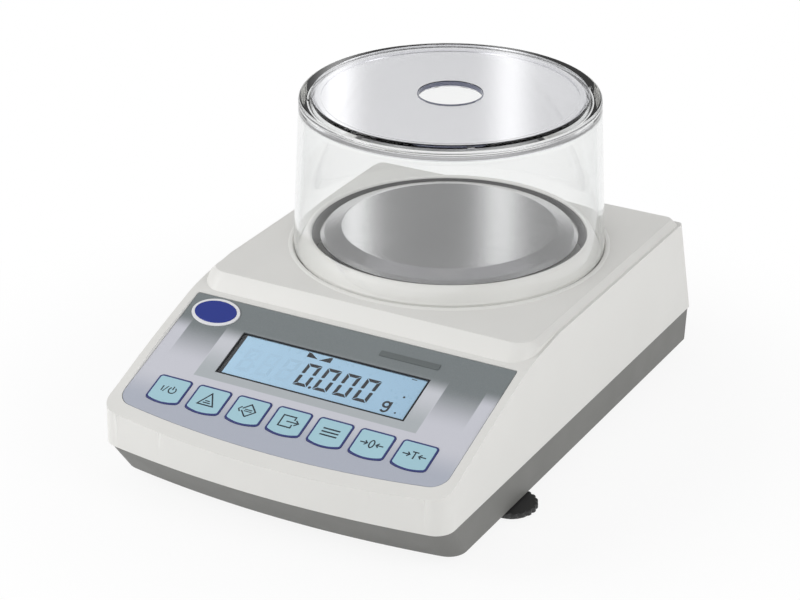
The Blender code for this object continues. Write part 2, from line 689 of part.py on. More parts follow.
def upper_housing():
    """The shell: a drafted body cut to the crowned slope, with the platform, the well and the openings."""
    seam = bowed(SEAM_HALF_WIDTH, -BODY_HALF_DEPTH, BODY_HALF_DEPTH, FRONT_BOW, BODY_CORNER, REAR_CORNER)
    margin = bowed(MARGIN_HALF_WIDTH, -BODY_HALF_DEPTH, MARGIN_REAR, FRONT_BOW, BODY_CORNER, REAR_CORNER)
    shell = loft([(seam, SEAM_Z), (margin, MARGIN_Z)])
    above = [(SLOPE[0][0], SLOPE_CLEAR_Z), *SLOPE, (SLOPE_CLEAR_Y, SLOPE[-1][1]), (SLOPE_CLEAR_Y, SLOPE_CLEAR_Z)]
    reach = SEAM_HALF_WIDTH + PAST
    shell = cut(shell, prism([above], -reach, reach, SIDEWAYS))
    top = rounded(PLATFORM_HALF_WIDTH, PLATFORM_FRONT, PLATFORM_REAR, PLATFORM_CORNER, PLATFORM_REAR_CORNER)
    step = rounded(PLATFORM_HALF_WIDTH + STEP_WIDTH, PLATFORM_FRONT - STEP_WIDTH, PLATFORM_REAR + STEP_WIDTH - LABEL_GAP,
                   PLATFORM_CORNER + STEP_WIDTH, PLATFORM_REAR_CORNER + STEP_WIDTH)
    skirt = rounded(SKIRT_HALF_WIDTH, SKIRT_FRONT, SKIRT_REAR, PLATFORM_CORNER + STEP_WIDTH, PLATFORM_REAR_CORNER)
    shell = joined(shell, loft([(skirt, SKIRT_Z), (step, STEP_Z), (top, PLATFORM_Z)]))
    shell = bevelled(shell, LIP_BEVEL, edge_share)

    inner_seam = bowed(SEAM_HALF_WIDTH - WALL, WALL - BODY_HALF_DEPTH, BODY_HALF_DEPTH - WALL, FRONT_BOW,
                       BODY_CORNER - WALL, BODY_CORNER - WALL)
    inner_top = bowed(MARGIN_HALF_WIDTH - WALL, WALL - BODY_HALF_DEPTH, CEILING_REAR, FRONT_BOW,
                      BODY_CORNER - WALL, BODY_CORNER - WALL)
    void = loft([(inner_seam, SEAM_Z - PAST), (inner_seam, SEAM_Z), (inner_top, CEILING_Z)])
    crossing = PANEL_Y + (CEILING_Z + PAST - panel_line(PANEL_Y, PANEL_WALL)) / PANEL_RISE
    over = [
        (SLOPE_CLEAR_Y, panel_line(SLOPE_CLEAR_Y, PANEL_WALL)),
        (crossing, CEILING_Z + PAST),
        (SLOPE_CLEAR_Y, CEILING_Z + PAST),
    ]
    void = cut(void, prism([over], -reach, reach, SIDEWAYS))
    centre = (0, PAN_AXIS_Y)
    void = cut(void, disc(WELL_RADIUS + WALL, WELL_FLOOR_Z - WALL, SLOPE_CLEAR_Z, centre, TURN_STEPS))
    shell = cut(shell, void)

    top_ring = PLATFORM_Z + LIP_RING_HEIGHT
    lip_ring = [(GROOVE_OUTER, top_ring), (LIP_RING_OUTER - LIP_RING_HEIGHT, top_ring), (LIP_RING_OUTER, PLATFORM_Z),
                (LIP_RING_OUTER, GROOVE_FLOOR_Z), (GROOVE_OUTER, GROOVE_FLOOR_Z)]
    shell = joined(shell, turned(lip_ring, centre, ring=True))
    groove = [(GROOVE_INNER, top_ring + PAST), (GROOVE_OUTER, top_ring + PAST), (GROOVE_OUTER, GROOVE_FLOOR_Z),
              (GROOVE_INNER, GROOVE_FLOOR_Z)]
    shell = cut(
        shell,
        turned(groove, centre, ring=True),
        disc(WELL_RADIUS, WELL_FLOOR_Z, SLOPE_CLEAR_Z, centre, TURN_STEPS),
        disc(POST_HOLE_RADIUS, WELL_FLOOR_Z - WALL - PAST, WELL_FLOOR_Z + PAST, centre, SMALL_STEPS * 2),
        prism([foil_outline(SEAT_GAP)], -FOIL_THICKNESS - SEAT_GAP, PAST, PANEL),
        prism([circuit_outline(SEAT_GAP)], CIRCUIT_HIGH - CIRCUIT_THICKNESS - SEAT_GAP, PAST, PANEL),
        prism([screen_outline(0)], -PANEL_WALL - PAST, PAST, PANEL),
        prism([bay_profile(-SEAT_GAP, PAST)], BAY_LEFT - SEAT_GAP, BAY_RIGHT + SEAT_GAP, SIDEWAYS),
    )
    for side in (-1, 1):
        for y, top_z in ((SCREW_FRONT_Y, PILLAR_FRONT_TOP_Z), (SCREW_REAR_Y, PILLAR_REAR_TOP_Z)):
            low = BOSS_TOP_Z + SEAT_GAP
            bore = SCREW_SHANK_RADIUS + SEAT_GAP
            pillar = [(0, top_z), (POST_WALL_RADIUS, top_z), (POST_WALL_RADIUS, low), (bore, low),
                      (bore, low + PILLAR_DEPTH), (0, low + PILLAR_DEPTH)]
            shell = joined(shell, turned(pillar, (side * SCREW_X, y), SMALL_STEPS))
    place("upper_housing", shell, "shell_white")


def foil_outline(gap):
    """The keypad foil seen square on, made larger by a gap."""
    outline = bowed(FOIL_HALF_WIDTH + gap, FOIL_BOTTOM - gap, FOIL_TOP + gap, FOIL_BOW, FOIL_CORNER + gap,
                    FOIL_TOP_CORNER + gap)
    return shifted(outline, FOIL_CENTRE)


def circuit_outline(gap):
    """The circuit under the keys, made larger by a gap."""
    half = CIRCUIT_HALF_WIDTH + gap
    return rectangle(-half, half, CIRCUIT_BOTTOM_V - gap, CIRCUIT_TOP_V + gap)


def screen_outline(inset):
    """The opening for the display, made smaller by an inset."""
    return rectangle(SCREEN_CENTRE_X - SCREEN_HALF_WIDTH + inset, SCREEN_CENTRE_X + SCREEN_HALF_WIDTH - inset,
                     SCREEN_CENTRE_V - SCREEN_HALF_HEIGHT + inset, SCREEN_CENTRE_V + SCREEN_HALF_HEIGHT - inset)


def key_outline(index, gap):
    """One key seen square on, made larger by a gap."""
    outline = bowed(KEY_HALF_WIDTH + gap, KEY_BOTTOM - gap, KEY_TOP + gap, KEY_BOW, KEY_CORNER + gap,
                    KEY_CORNER + gap, KEY_BOW_STEPS, KEY_CORNER_STEPS)
    return shifted(outline, key_x(index))


def key_x(index):
    """The middle of a key, counted from the left."""
    return (index - (KEY_COUNT - 1) * HALF) * KEY_PITCH


def bay_profile(inset, behind):
    """The rear bay from the side as (y, z), made smaller by an inset and carried past the rear wall."""
    low = BAY_LOW + inset
    high = BAY_HIGH - inset
    return [(BAY_INNER_Y + inset, low), (rear_wall(low) + behind, low), (rear_wall(high) + behind, high),
            (BAY_INNER_Y + inset, high)]


def lower_housing():
    """The base tray, raked at the front, with bosses for the screws and the feet."""
    bottom = bowed(TRAY_BOTTOM_HALF_WIDTH, TRAY_BOTTOM_FRONT, TRAY_BOTTOM_REAR, FRONT_BOW, BODY_CORNER, REAR_CORNER)
    top = bowed(TRAY_TOP_HALF_WIDTH, TRAY_TOP_FRONT, TRAY_TOP_REAR, FRONT_BOW, BODY_CORNER, REAR_CORNER)
    tray = loft([(bottom, TRAY_BOTTOM_Z), (top, TRAY_TOP_Z)])
    corner = BODY_CORNER - WALL
    inner_bottom = bowed(TRAY_BOTTOM_HALF_WIDTH - WALL, TRAY_BOTTOM_FRONT + WALL, TRAY_BOTTOM_REAR - WALL, FRONT_BOW,
                         corner, corner)
    inner_top = bowed(TRAY_TOP_HALF_WIDTH - WALL, TRAY_TOP_FRONT + WALL, TRAY_TOP_REAR - WALL, FRONT_BOW,
                      corner, corner)
    floor = TRAY_BOTTOM_Z + TRAY_FLOOR
    tray = cut(tray, loft([(inner_bottom, floor), (inner_top, TRAY_TOP_Z), (inner_top, TRAY_TOP_Z + PAST)]))
    sink = floor + SCREW_HEAD_HEIGHT * HALF
    for side in (-1, 1):
        low = (FOOT_BOSS_INNER_X, FOOT_Y - FOOT_BOSS_HALF_DEPTH, floor - WALL * HALF)
        high = (FOOT_BOSS_OUTER_X, FOOT_Y + FOOT_BOSS_HALF_DEPTH, FOOT_BOSS_TOP_Z)
        boss = box(low, high)
        if side < 0:
            boss = box((-high[0], low[1], low[2]), (-low[0], high[1], high[2]))
        tray = joined(tray, boss)
        tray = cut(tray, disc(INSERT_RADIUS + SEAT_GAP, TRAY_BOTTOM_Z - PAST, TRAY_TOP_Z, (side * FOOT_X, FOOT_Y)))
        for y in (SCREW_FRONT_Y, SCREW_REAR_Y):
            centre = (side * SCREW_X, y)
            tray = joined(tray, disc(BOSS_RADIUS, floor - WALL * HALF, BOSS_TOP_Z, centre))
            wide = SCREW_HEAD_RADIUS + SEAT_GAP
            bore = SCREW_SHANK_RADIUS + SEAT_GAP
            stepped = [(0, TRAY_TOP_Z), (bore, TRAY_TOP_Z), (bore, sink), (wide, sink), (wide, TRAY_BOTTOM_Z - PAST),
                       (0, TRAY_BOTTOM_Z - PAST)]
            tray = cut(tray, turned(stepped, centre, SMALL_STEPS))
    place("lower_housing", tray, "tray_grey")


def housing_screws():
    """Four screws from below, through the tray into the pillars of the shell."""
    head_top = SCREW_HEAD_LOW + SCREW_HEAD_HEIGHT
    number = 0
    for y in (SCREW_FRONT_Y, SCREW_REAR_Y):
        for side in (-1, 1):
            number += 1
            profile = [(0, SCREW_TIP_Z), (SCREW_SHANK_RADIUS, SCREW_TIP_Z), (SCREW_SHANK_RADIUS, head_top),
                       (SCREW_HEAD_RADIUS, head_top), (SCREW_HEAD_RADIUS, SCREW_HEAD_LOW), (0, SCREW_HEAD_LOW)]
            place(f"housing_screw_{number}", turned(profile, (side * SCREW_X, y), SMALL_STEPS), "steel")


def feet():
    """Two turning front feet with their inserts, and two rubber rear feet."""
    for side, word in ((-1, "left"), (1, "right")):
        centre = (side * FOOT_X, FOOT_Y)
        origin = (*centre, 0)
        outline = []
        for i in range(KNOB_GRIPS * 2):
            radius = KNOB_RADIUS - KNOB_GRIP_DEPTH * (i % 2)
            angle = math.pi * i / KNOB_GRIPS
            outline.append((centre[0] + radius * math.cos(angle), centre[1] + radius * math.sin(angle)))
        knob = prism([outline], KNOB_LOW, KNOB_HIGH)
        knob = joined(knob, disc(STEM_RADIUS, KNOB_LOW + WALL * HALF, STEM_TOP_Z, centre))
        place(f"foot_knob_{word}", knob, "plastic_black", origin)
        pad = [(0, FOOT_PAD_HEIGHT), (FOOT_PAD_RADIUS, FOOT_PAD_HEIGHT), (FOOT_PAD_RADIUS, FOOT_PAD_EDGE),
               (FOOT_PAD_RADIUS - FOOT_PAD_EDGE, 0), (0, 0)]
        place(f"foot_pad_{word}", turned(pad, centre, SMALL_STEPS * 2), "rubber_black", origin)
        insert = [(INSERT_BORE, INSERT_HIGH), (INSERT_RADIUS, INSERT_HIGH), (INSERT_RADIUS, INSERT_LOW),
                  (INSERT_BORE, INSERT_LOW)]
        place(f"foot_insert_{word}", turned(insert, centre, SMALL_STEPS, ring=True), "brass")
        rear = [(0, TRAY_BOTTOM_Z - SEAT_GAP), (REAR_FOOT_RADIUS, TRAY_BOTTOM_Z - SEAT_GAP),
                (REAR_FOOT_RADIUS, REAR_FOOT_EDGE), (REAR_FOOT_RADIUS - REAR_FOOT_EDGE, 0), (0, 0)]
        place(f"rear_foot_{word}", turned(rear, (side * REAR_FOOT_X, REAR_FOOT_Y), SMALL_STEPS * 2), "rubber_black")


def control_panel():
    """The foil with its keys, the circuit under them, the badge and the bare strip."""
    holes = [key_outline(i, KEY_GAP) for i in range(KEY_COUNT)]
    place("keypad_foil", prism([foil_outline(0), screen_outline(0), *holes], -FOIL_THICKNESS, 0, PANEL), "foil_grey")
    names = ("key_power", "key_percent", "key_mode", "key_print", "key_menu", "key_zero", "key_tare")
    middle_v = (KEY_TOP + KEY_BOTTOM) * HALF
    for i, name in enumerate(names):
        key = prism([key_outline(i, 0)], KEY_RAISE - KEY_THICKNESS, KEY_RAISE, PANEL)
        origin = PANEL @ Matrix.Translation((key_x(i), middle_v, KEY_RAISE))
        place(name, key, "key_blue", tuple(origin.translation))
    place("keypad_circuit", prism([circuit_outline(0)], CIRCUIT_HIGH - CIRCUIT_THICKNESS, CIRCUIT_HIGH, PANEL),
          "foil_amber")
    oval = [(BADGE_X + BADGE_HALF_WIDTH * math.cos(a), BADGE_V + BADGE_HALF_HEIGHT * math.sin(a))
            for a in (2 * math.pi * i / BADGE_STEPS for i in range(BADGE_STEPS))]
    place("badge_plate", prism([oval], LABEL_GAP, LABEL_GAP + BADGE_THICKNESS, PANEL), "badge_blue")
    strip = rectangle(STRIP_LEFT, STRIP_RIGHT, STRIP_BOTTOM_V, STRIP_TOP_V)
    place("capacity_plate", prism([strip], LABEL_GAP, LABEL_GAP + STRIP_THICKNESS, PANEL), "strip_grey")


def display():
    """The display stack in its black frame, from the clear window down to its board."""
    inside = SEAT_GAP + FRAME_WALL
    ring = [screen_outline(SEAT_GAP), screen_outline(inside)]
    place("display_frame", prism(ring, FRAME_LOW, FRAME_HIGH, PANEL), "plastic_black")
    pane = screen_outline(inside + SEAT_GAP)
    place("display_window", prism([pane], WINDOW_HIGH - WINDOW_THICKNESS, WINDOW_HIGH, PANEL), "clear_plastic")
    place("lcd_panel", prism([pane], LCD_LOW, LCD_HIGH, PANEL), "lcd_blue")
    place("backlight", prism([pane], BACKLIGHT_LOW, LCD_LOW - SEAT_GAP, PANEL), "diffuser_white")
    high = FRAME_LOW - SEAT_GAP
    place("display_board", prism([screen_outline(-BOARD_MARGIN)], high - BOARD_THICKNESS, high, PANEL), "board_green")


def pan_group():
    """The ring round the well, and the pan with its support, pads and post."""
    centre = (0, PAN_AXIS_Y)
    hill = [(RING_INNER + r, z) for r, z in RING_HILL]
    ring = [(RING_INNER, RING_INNER_TOP_Z), *hill, (RING_OUTER, RING_BASE_Z + SEAT_GAP), (RING_OUTER, RING_BASE_Z),
            (RING_INNER, RING_BASE_Z)]
    place("pan_ring", turned(ring, centre, ring=True), "shell_white")
    origin = (*centre, SUPPORT_LOW)
    pan = [(0, PAN_TOP_Z), (PAN_FLAT_RADIUS, PAN_TOP_Z), (PAN_RADIUS, PAN_EDGE_Z),
           (PAN_RADIUS, PAN_EDGE_Z - PAN_EDGE_DEPTH), (PAN_RADIUS - PAN_EDGE_DEPTH, PAN_EDGE_Z - PAN_EDGE_DEPTH),
           (PAN_FLAT_RADIUS - PAN_EDGE_DEPTH, PAN_TOP_Z - PAN_SHEET), (0, PAN_TOP_Z - PAN_SHEET)]
    place("weighing_pan", turned(pan, centre), "steel", origin)
    support = [(0, SUPPORT_HIGH), (SUPPORT_RADIUS, SUPPORT_HIGH), (SUPPORT_RADIUS, SUPPORT_LOW + SEAT_GAP * 4),
               (SUPPORT_HUB_RADIUS, SUPPORT_LOW + SEAT_GAP * 4), (SUPPORT_HUB_RADIUS, SUPPORT_LOW), (0, SUPPORT_LOW)]
    place("pan_support", turned(support, centre, SMALL_STEPS * 2), "aluminium", origin)
    post = [(0, POST_HIGH), (POST_RADIUS, POST_HIGH), (POST_RADIUS, POST_LOW + POST_FOOT_HEIGHT),
            (POST_FOOT_RADIUS, POST_LOW + POST_FOOT_HEIGHT), (POST_FOOT_RADIUS, POST_LOW), (0, POST_LOW)]
    place("pan_post", turned(post, centre, SMALL_STEPS), "aluminium", origin)
    for i in range(PAD_COUNT):
        angle = 2 * math.pi * i / PAD_COUNT + math.pi * HALF
        spot = (PAD_CIRCLE * math.cos(angle), PAN_AXIS_Y + PAD_CIRCLE * math.sin(angle))
        place(f"pan_pad_{i + 1}", disc(PAD_RADIUS, PAD_LOW, PAD_HIGH, spot), "rubber_black", origin)


def draft_shield():
    """The tapered shield with its lugs, and the lid with the finger hole."""
    centre = (0, PAN_AXIS_Y)
    origin = (*centre, SHIELD_BOTTOM_Z)
    shoulder = arc((SHIELD_TOP_RADIUS - SHOULDER_RADIUS, SHIELD_TOP_Z - SHOULDER_RADIUS), SHOULDER_RADIUS,
                   math.pi * HALF, 0, SHOULDER_STEPS)
    wall = [(SHIELD_RIM_RADIUS, SHIELD_TOP_Z), *shoulder, (SHIELD_BOTTOM_RADIUS, SHIELD_BOTTOM_Z),
            (SHIELD_BOTTOM_RADIUS - SHIELD_WALL, SHIELD_BOTTOM_Z), *reversed(SHIELD_NECK),
            (LEDGE_RADIUS, LEDGE_Z - LEDGE_THICKNESS), (LEDGE_RADIUS, LEDGE_Z), (SHIELD_RIM_RADIUS, LEDGE_Z)]
    shield = turned(wall, centre, ring=True)
    for degrees in LUG_ANGLES:
        half_length = LUG_LENGTH * HALF
        lug = box((LUG_RADIUS - LUG_WIDTH * HALF, -half_length, SHIELD_TOP_Z - LUG_HEIGHT * 2),
                  (LUG_RADIUS + LUG_WIDTH * HALF, half_length, SHIELD_TOP_Z + LUG_HEIGHT))
        lug.transform(Matrix.Translation((*centre, 0)) @ Matrix.Rotation(math.radians(degrees), 4, "Z"))
        shield = joined(shield, lug)
    place("draft_shield", shield, "clear_plastic", origin)
    under = LID_TOP_Z - LID_THICKNESS
    lid = [(LID_HOLE_RADIUS, LID_TOP_Z), (LID_RADIUS - LID_CHAMFER, LID_TOP_Z), (LID_RADIUS, LID_TOP_Z - LID_CHAMFER),
           (LID_RADIUS, under), (LID_PLUG_OUTER, under), (LID_PLUG_OUTER, under - LID_PLUG_DROP),
           (LID_PLUG_INNER, under - LID_PLUG_DROP), (LID_PLUG_INNER, under), (LID_HOLE_RADIUS, under)]
    place("shield_lid", turned(lid, centre, ring=True), "clear_plastic", (*centre, under))


def load_cell():
    """The beam on its spacer and plate, with screws, gauges and the overload stop."""
    plate = box((-PLATE_HALF_WIDTH, PLATE_FRONT, PLATE_LOW), (PLATE_HALF_WIDTH, PLATE_REAR, PLATE_HIGH))
    place("base_plate", plate, "steel")
    beam = box((-CELL_HALF_WIDTH, CELL_FRONT, CELL_LOW), (CELL_HALF_WIDTH, CELL_REAR, CELL_HIGH))
    spacer = box((-CELL_HALF_WIDTH, CELL_FRONT, SPACER_LOW), (CELL_HALF_WIDTH, SPACER_REAR, SPACER_HIGH))
    reach = CELL_HALF_WIDTH + PAST
    height = (CELL_LOW + CELL_HIGH) * HALF
    for y in CELL_EYES_Y:
        eye = arc((y, height), CELL_EYE_RADIUS, 0, 2 * math.pi, SMALL_STEPS)[:-1]
        beam = cut(beam, prism([eye], -reach, reach, SIDEWAYS))
    slot = box((-reach, CELL_EYES_Y[0], height - CELL_SLOT_HALF), (reach, CELL_EYES_Y[1], height + CELL_SLOT_HALF))
    beam = cut(beam, slot)
    head_low = CELL_HIGH + SEAT_GAP
    for i, y in enumerate(CELL_SCREWS_Y):
        beam = cut(beam, disc(CELL_SCREW_BORE, CELL_LOW - PAST, CELL_HIGH + PAST, (0, y)))
        spacer = cut(spacer, disc(CELL_SCREW_BORE, SPACER_LOW - PAST, SPACER_HIGH + PAST, (0, y)))
        screw = [(0, CELL_SCREW_HEAD_HIGH), (CELL_SCREW_HEAD, CELL_SCREW_HEAD_HIGH), (CELL_SCREW_HEAD, head_low),
                 (CELL_SCREW_SHANK, head_low), (CELL_SCREW_SHANK, CELL_SCREW_TIP), (0, CELL_SCREW_TIP)]
        place(f"load_cell_screw_{i + 1}", turned(screw, (0, y), SMALL_STEPS), "steel")
    place("load_cell", beam, "aluminium")
    place("load_cell_spacer", spacer, "aluminium")
    for i, y in enumerate(CELL_EYES_Y):
        low = (-GAUGE_HALF_WIDTH, y - GAUGE_HALF_LENGTH, CELL_HIGH + LABEL_GAP)
        high = (GAUGE_HALF_WIDTH, y + GAUGE_HALF_LENGTH, CELL_HIGH + LABEL_GAP + GAUGE_THICKNESS)
        place(f"strain_gauge_{i + 1}", box(low, high), "foil_amber")
    place("overload_stop", disc(STOP_RADIUS, SPACER_LOW, STOP_HIGH, (0, STOP_Y)), "steel")


def electronics():
    """The main board with its chip, screening can and buzzer, and the ribbon to the display."""
    board = box((-MAIN_HALF_WIDTH, MAIN_FRONT, MAIN_LOW), (MAIN_HALF_WIDTH, MAIN_REAR, MAIN_HIGH))
    place("main_board", board, "board_green")
    chip = box((CHIP_X - CHIP_HALF, CHIP_Y - CHIP_HALF, PARTS_LOW), (CHIP_X + CHIP_HALF, CHIP_Y + CHIP_HALF, CHIP_HIGH))
    place("processor_chip", chip, "plastic_black")
    can = box((CAN_X - CAN_HALF_WIDTH, CAN_Y - CAN_HALF_DEPTH, PARTS_LOW),
              (CAN_X + CAN_HALF_WIDTH, CAN_Y + CAN_HALF_DEPTH, CAN_HIGH))
    place("shield_can", can, "steel")
    buzzer = [(0, BUZZER_HIGH - BUZZER_HOLE_DEPTH), (BUZZER_HOLE_RADIUS, BUZZER_HIGH - BUZZER_HOLE_DEPTH),
              (BUZZER_HOLE_RADIUS, BUZZER_HIGH), (BUZZER_RADIUS, BUZZER_HIGH), (BUZZER_RADIUS, PARTS_LOW),
              (0, PARTS_LOW)]
    place("buzzer", turned(buzzer, (BUZZER_X, BUZZER_Y), SMALL_STEPS), "plastic_black")
    front = []
    rear = []
    for i in range(RIBBON_STEPS + 1):
        share = i / RIBBON_STEPS
        y = RIBBON_Y + RIBBON_SWAY * math.sin(2 * math.pi * share)
        z = RIBBON_LOW + (RIBBON_HIGH - RIBBON_LOW) * share
        front.append((y - RIBBON_THICKNESS * HALF, z))
        rear.append((y + RIBBON_THICKNESS * HALF, z))
    ribbon = prism([front + rear[::-1]], RIBBON_X - RIBBON_HALF_WIDTH, RIBBON_X + RIBBON_HALF_WIDTH, SIDEWAYS)
    place("display_ribbon", ribbon, "label_silver")


def rear_bay():
    """The tub in the rear wall with the sockets and the level, and the blank plate under the tray."""
    tub = prism([bay_profile(0, -BAY_RECESS)], BAY_LEFT, BAY_RIGHT, SIDEWAYS)
    hollow = prism([bay_profile(BAY_WALL, PAST)], BAY_LEFT + BAY_WALL, BAY_RIGHT - BAY_WALL, SIDEWAYS)
    place("rear_bay", cut(tub, hollow), "plastic_black")
    seat = BAY_INNER_Y + BAY_WALL + SEAT_GAP
    barrel = [(JACK_BORE, JACK_LENGTH), (JACK_RADIUS, JACK_LENGTH), (JACK_RADIUS, 0), (0, 0),
              (0, JACK_LENGTH - JACK_DEPTH), (JACK_BORE, JACK_LENGTH - JACK_DEPTH)]
    jack = turned([barrel[4], barrel[5], *barrel[:4]], steps=SMALL_STEPS * 2)
    jack.transform(Matrix.Translation((JACK_X, seat, SOCKET_Z)) @ REARWARD)
    place("power_jack", jack, "plastic_black")
    flange_rear = seat + PORT_FLANGE_THICKNESS
    flange = box((PORT_X - PORT_FLANGE_HALF_WIDTH, seat, SOCKET_Z - PORT_FLANGE_HALF_HEIGHT),
                 (PORT_X + PORT_FLANGE_HALF_WIDTH, flange_rear, SOCKET_Z + PORT_FLANGE_HALF_HEIGHT))
    skin = box((PORT_X - PORT_SHELL_HALF_WIDTH, seat, SOCKET_Z - PORT_SHELL_HALF_HEIGHT),
               (PORT_X + PORT_SHELL_HALF_WIDTH, flange_rear + PORT_SHELL_LENGTH, SOCKET_Z + PORT_SHELL_HALF_HEIGHT))
    half_width = PORT_SHELL_HALF_WIDTH - PORT_SHELL_WALL
    half_height = PORT_SHELL_HALF_HEIGHT - PORT_SHELL_WALL
    mouth = box((PORT_X - half_width, flange_rear, SOCKET_Z - half_height),
                (PORT_X + half_width, flange_rear + PORT_SHELL_LENGTH + PAST, SOCKET_Z + half_height))
    place("serial_port", cut(joined(flange, skin), mouth), "steel")
    low = BAY_LOW + BAY_WALL + SEAT_GAP
    high = low + LEVEL_HEIGHT
    cup = VIAL_RADIUS + SEAT_GAP
    body = [(0, low + VIAL_FLOOR), (cup, low + VIAL_FLOOR), (cup, high), (LEVEL_RADIUS, high), (LEVEL_RADIUS, low),
            (0, low)]
    place("level_body", turned(body, (LEVEL_X, LEVEL_Y), SMALL_STEPS * 2), "plastic_black")
    vial_low = low + VIAL_FLOOR + SEAT_GAP
    vial = disc(VIAL_RADIUS, vial_low, vial_low + VIAL_HEIGHT, (LEVEL_X, LEVEL_Y), SMALL_STEPS * 2)
    place("level_vial", vial, "vial_green")
    label_high = TRAY_BOTTOM_Z - SEAT_GAP
    label = box((-PLATE_LABEL_HALF_WIDTH, PLATE_LABEL_FRONT, label_high - PLATE_LABEL_THICKNESS),
                (PLATE_LABEL_HALF_WIDTH, PLATE_LABEL_REAR, label_high))
    place("rating_plate", label, "label_silver")


upper_housing()
lower_housing()
housing_screws()
feet()
control_panel()
display()
pan_group()
draft_shield()
load_cell()
electronics()
rear_bay()
bpy.data.collections.remove(BENCH)
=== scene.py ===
"""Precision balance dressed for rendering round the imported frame. Metres, +Z up, front towards -Y."""
import json
import math

import bmesh
import bpy
from mathutils import Matrix, Vector

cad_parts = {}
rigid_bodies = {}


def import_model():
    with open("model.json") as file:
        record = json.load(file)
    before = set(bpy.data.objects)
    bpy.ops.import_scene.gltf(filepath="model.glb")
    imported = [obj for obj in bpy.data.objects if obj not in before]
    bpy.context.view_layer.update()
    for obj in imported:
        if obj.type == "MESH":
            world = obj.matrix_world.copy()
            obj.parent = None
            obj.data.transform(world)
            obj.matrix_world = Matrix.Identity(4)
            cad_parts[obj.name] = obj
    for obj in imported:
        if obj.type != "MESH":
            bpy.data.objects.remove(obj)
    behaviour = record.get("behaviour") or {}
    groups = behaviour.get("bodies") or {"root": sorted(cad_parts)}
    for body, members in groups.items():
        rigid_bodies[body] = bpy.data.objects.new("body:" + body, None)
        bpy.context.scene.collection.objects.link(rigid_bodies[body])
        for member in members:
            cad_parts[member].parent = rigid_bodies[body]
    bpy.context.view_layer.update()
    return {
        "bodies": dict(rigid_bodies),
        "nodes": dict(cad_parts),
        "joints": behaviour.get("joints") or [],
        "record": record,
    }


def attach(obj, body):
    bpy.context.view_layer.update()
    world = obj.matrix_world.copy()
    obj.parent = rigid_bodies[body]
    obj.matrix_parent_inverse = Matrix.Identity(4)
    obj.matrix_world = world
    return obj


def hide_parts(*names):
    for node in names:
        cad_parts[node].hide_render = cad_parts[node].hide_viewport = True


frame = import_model()

# Clearances and fineness
SEAT_GAP = 0.0003
LABEL_GAP = 0.0001
WELD = 0.000004
PAST = 0.005
HALF = 0.5
MM = 0.001
SMOOTH_ANGLE = math.radians(32)
BEVEL_STEPS = 6
EDGE_STEPS = 4
BOW_STEPS = 72
CORNER_STEPS = 12
TURN_STEPS = 192
SMALL_STEPS = 48

# Housing plan and heights
SEAM_Z = 0.0275
SEAM_HALF_WIDTH = 0.10775
BODY_HALF_DEPTH = 0.1635
FRONT_BOW = 0.0095
BODY_CORNER = 0.011
REAR_CORNER = 0.0035
MARGIN_Z = 0.0885
MARGIN_HALF_WIDTH = 0.1068
MARGIN_REAR = 0.147
WALL = 0.0025
CEILING_Z = 0.0858
CEILING_REAR = 0.1449
LIP_BEVEL = 0.006
EDGE_BEVEL_SHARE = 0.36
LIP_REAR = -0.135
LIP_HIGHEST = 0.0585
NEAR_FACE = LABEL_GAP * 3
REACH = SEAM_HALF_WIDTH + PAST

# Crowned slope in front of the weighing platform, as (y, z) from the platform to past the front wall
SLOPE = (
    (-0.020, 0.0885),
    (-0.036, 0.0869),
    (-0.048, 0.0853),
    (-0.060, 0.0830),
    (-0.075, 0.0783),
    (-0.094, 0.0719),
    (-0.108, 0.0668),
    (-0.121, 0.0618),
    (-0.135, 0.0562),
    (-0.148, 0.05135),
    (-0.180, 0.0398),
)
SLOPE_STEPS = 8
SLOPE_CLEAR_Z = 0.120
SLOPE_CLEAR_Y = -0.200

# Plane of the control panel: z = base + slope * y
PANEL_BASE_Z = 0.10441
PANEL_RISE = 0.3597
PANEL_WALL = 0.0056
PANEL_ANGLE = math.atan(PANEL_RISE)

# Raised weighing platform
PLATFORM_Z = 0.092
PLATFORM_HALF_WIDTH = 0.1015
PLATFORM_FRONT = -0.051
PLATFORM_REAR = 0.1435
PLATFORM_CORNER = 0.010
PLATFORM_REAR_CORNER = 0.004
STEP_WIDTH = 0.0035
STEP_Z = 0.0886
SKIRT_Z = 0.0815
SKIRT_HALF_WIDTH = 0.1054
SKIRT_FRONT = -0.0602
SKIRT_REAR = 0.1466
PLATFORM_EDGE = 0.0008
PLATFORM_BEVEL_SHARE = 1.6

# Round well, and the groove with its raised lip, about the weighing axis
PAN_AXIS_Y = 0.04984
AXIS = (0, PAN_AXIS_Y)
WELL_RADIUS = 0.0795
WELL_FLOOR_Z = 0.083
POST_HOLE_RADIUS = 0.015
# Thin dark tube inside the well: painted shade for the shadowed gap round the pan
WELL_SHADE_WALL = 0.0003
WELL_SHADE_TOP_Z = 0.1005
GROOVE_INNER = 0.0874
GROOVE_OUTER = 0.0914
GROOVE_FLOOR_Z = 0.0910
LIP_RING_OUTER = 0.0940
LIP_RING_HEIGHT = 0.0007
# The lip's crest as (outward, down) in shares of its height, from its inner and its outer radius
CREST_INNER = ((0, 0.4), (0.4, 0))
CREST_OUTER = ((-1.6, 0), (-0.6, 0.5))

# Pan ring, and its height by the distance from its inner face
RING_INNER = 0.0798
RING_OUTER = 0.0876
RING_BASE_Z = 0.0922
RING_INNER_TOP_Z = 0.1012
RING_ROUND = 0.0004
RING_ROUND_SHARE = 0.3
RING_HILL = (
    (0.0006, 0.1017), (0.0016, 0.1019), (0.0030, 0.1010),
    (0.0046, 0.0989), (0.0060, 0.0958), (0.0070, 0.0933),
)
HILL_STEPS = 5

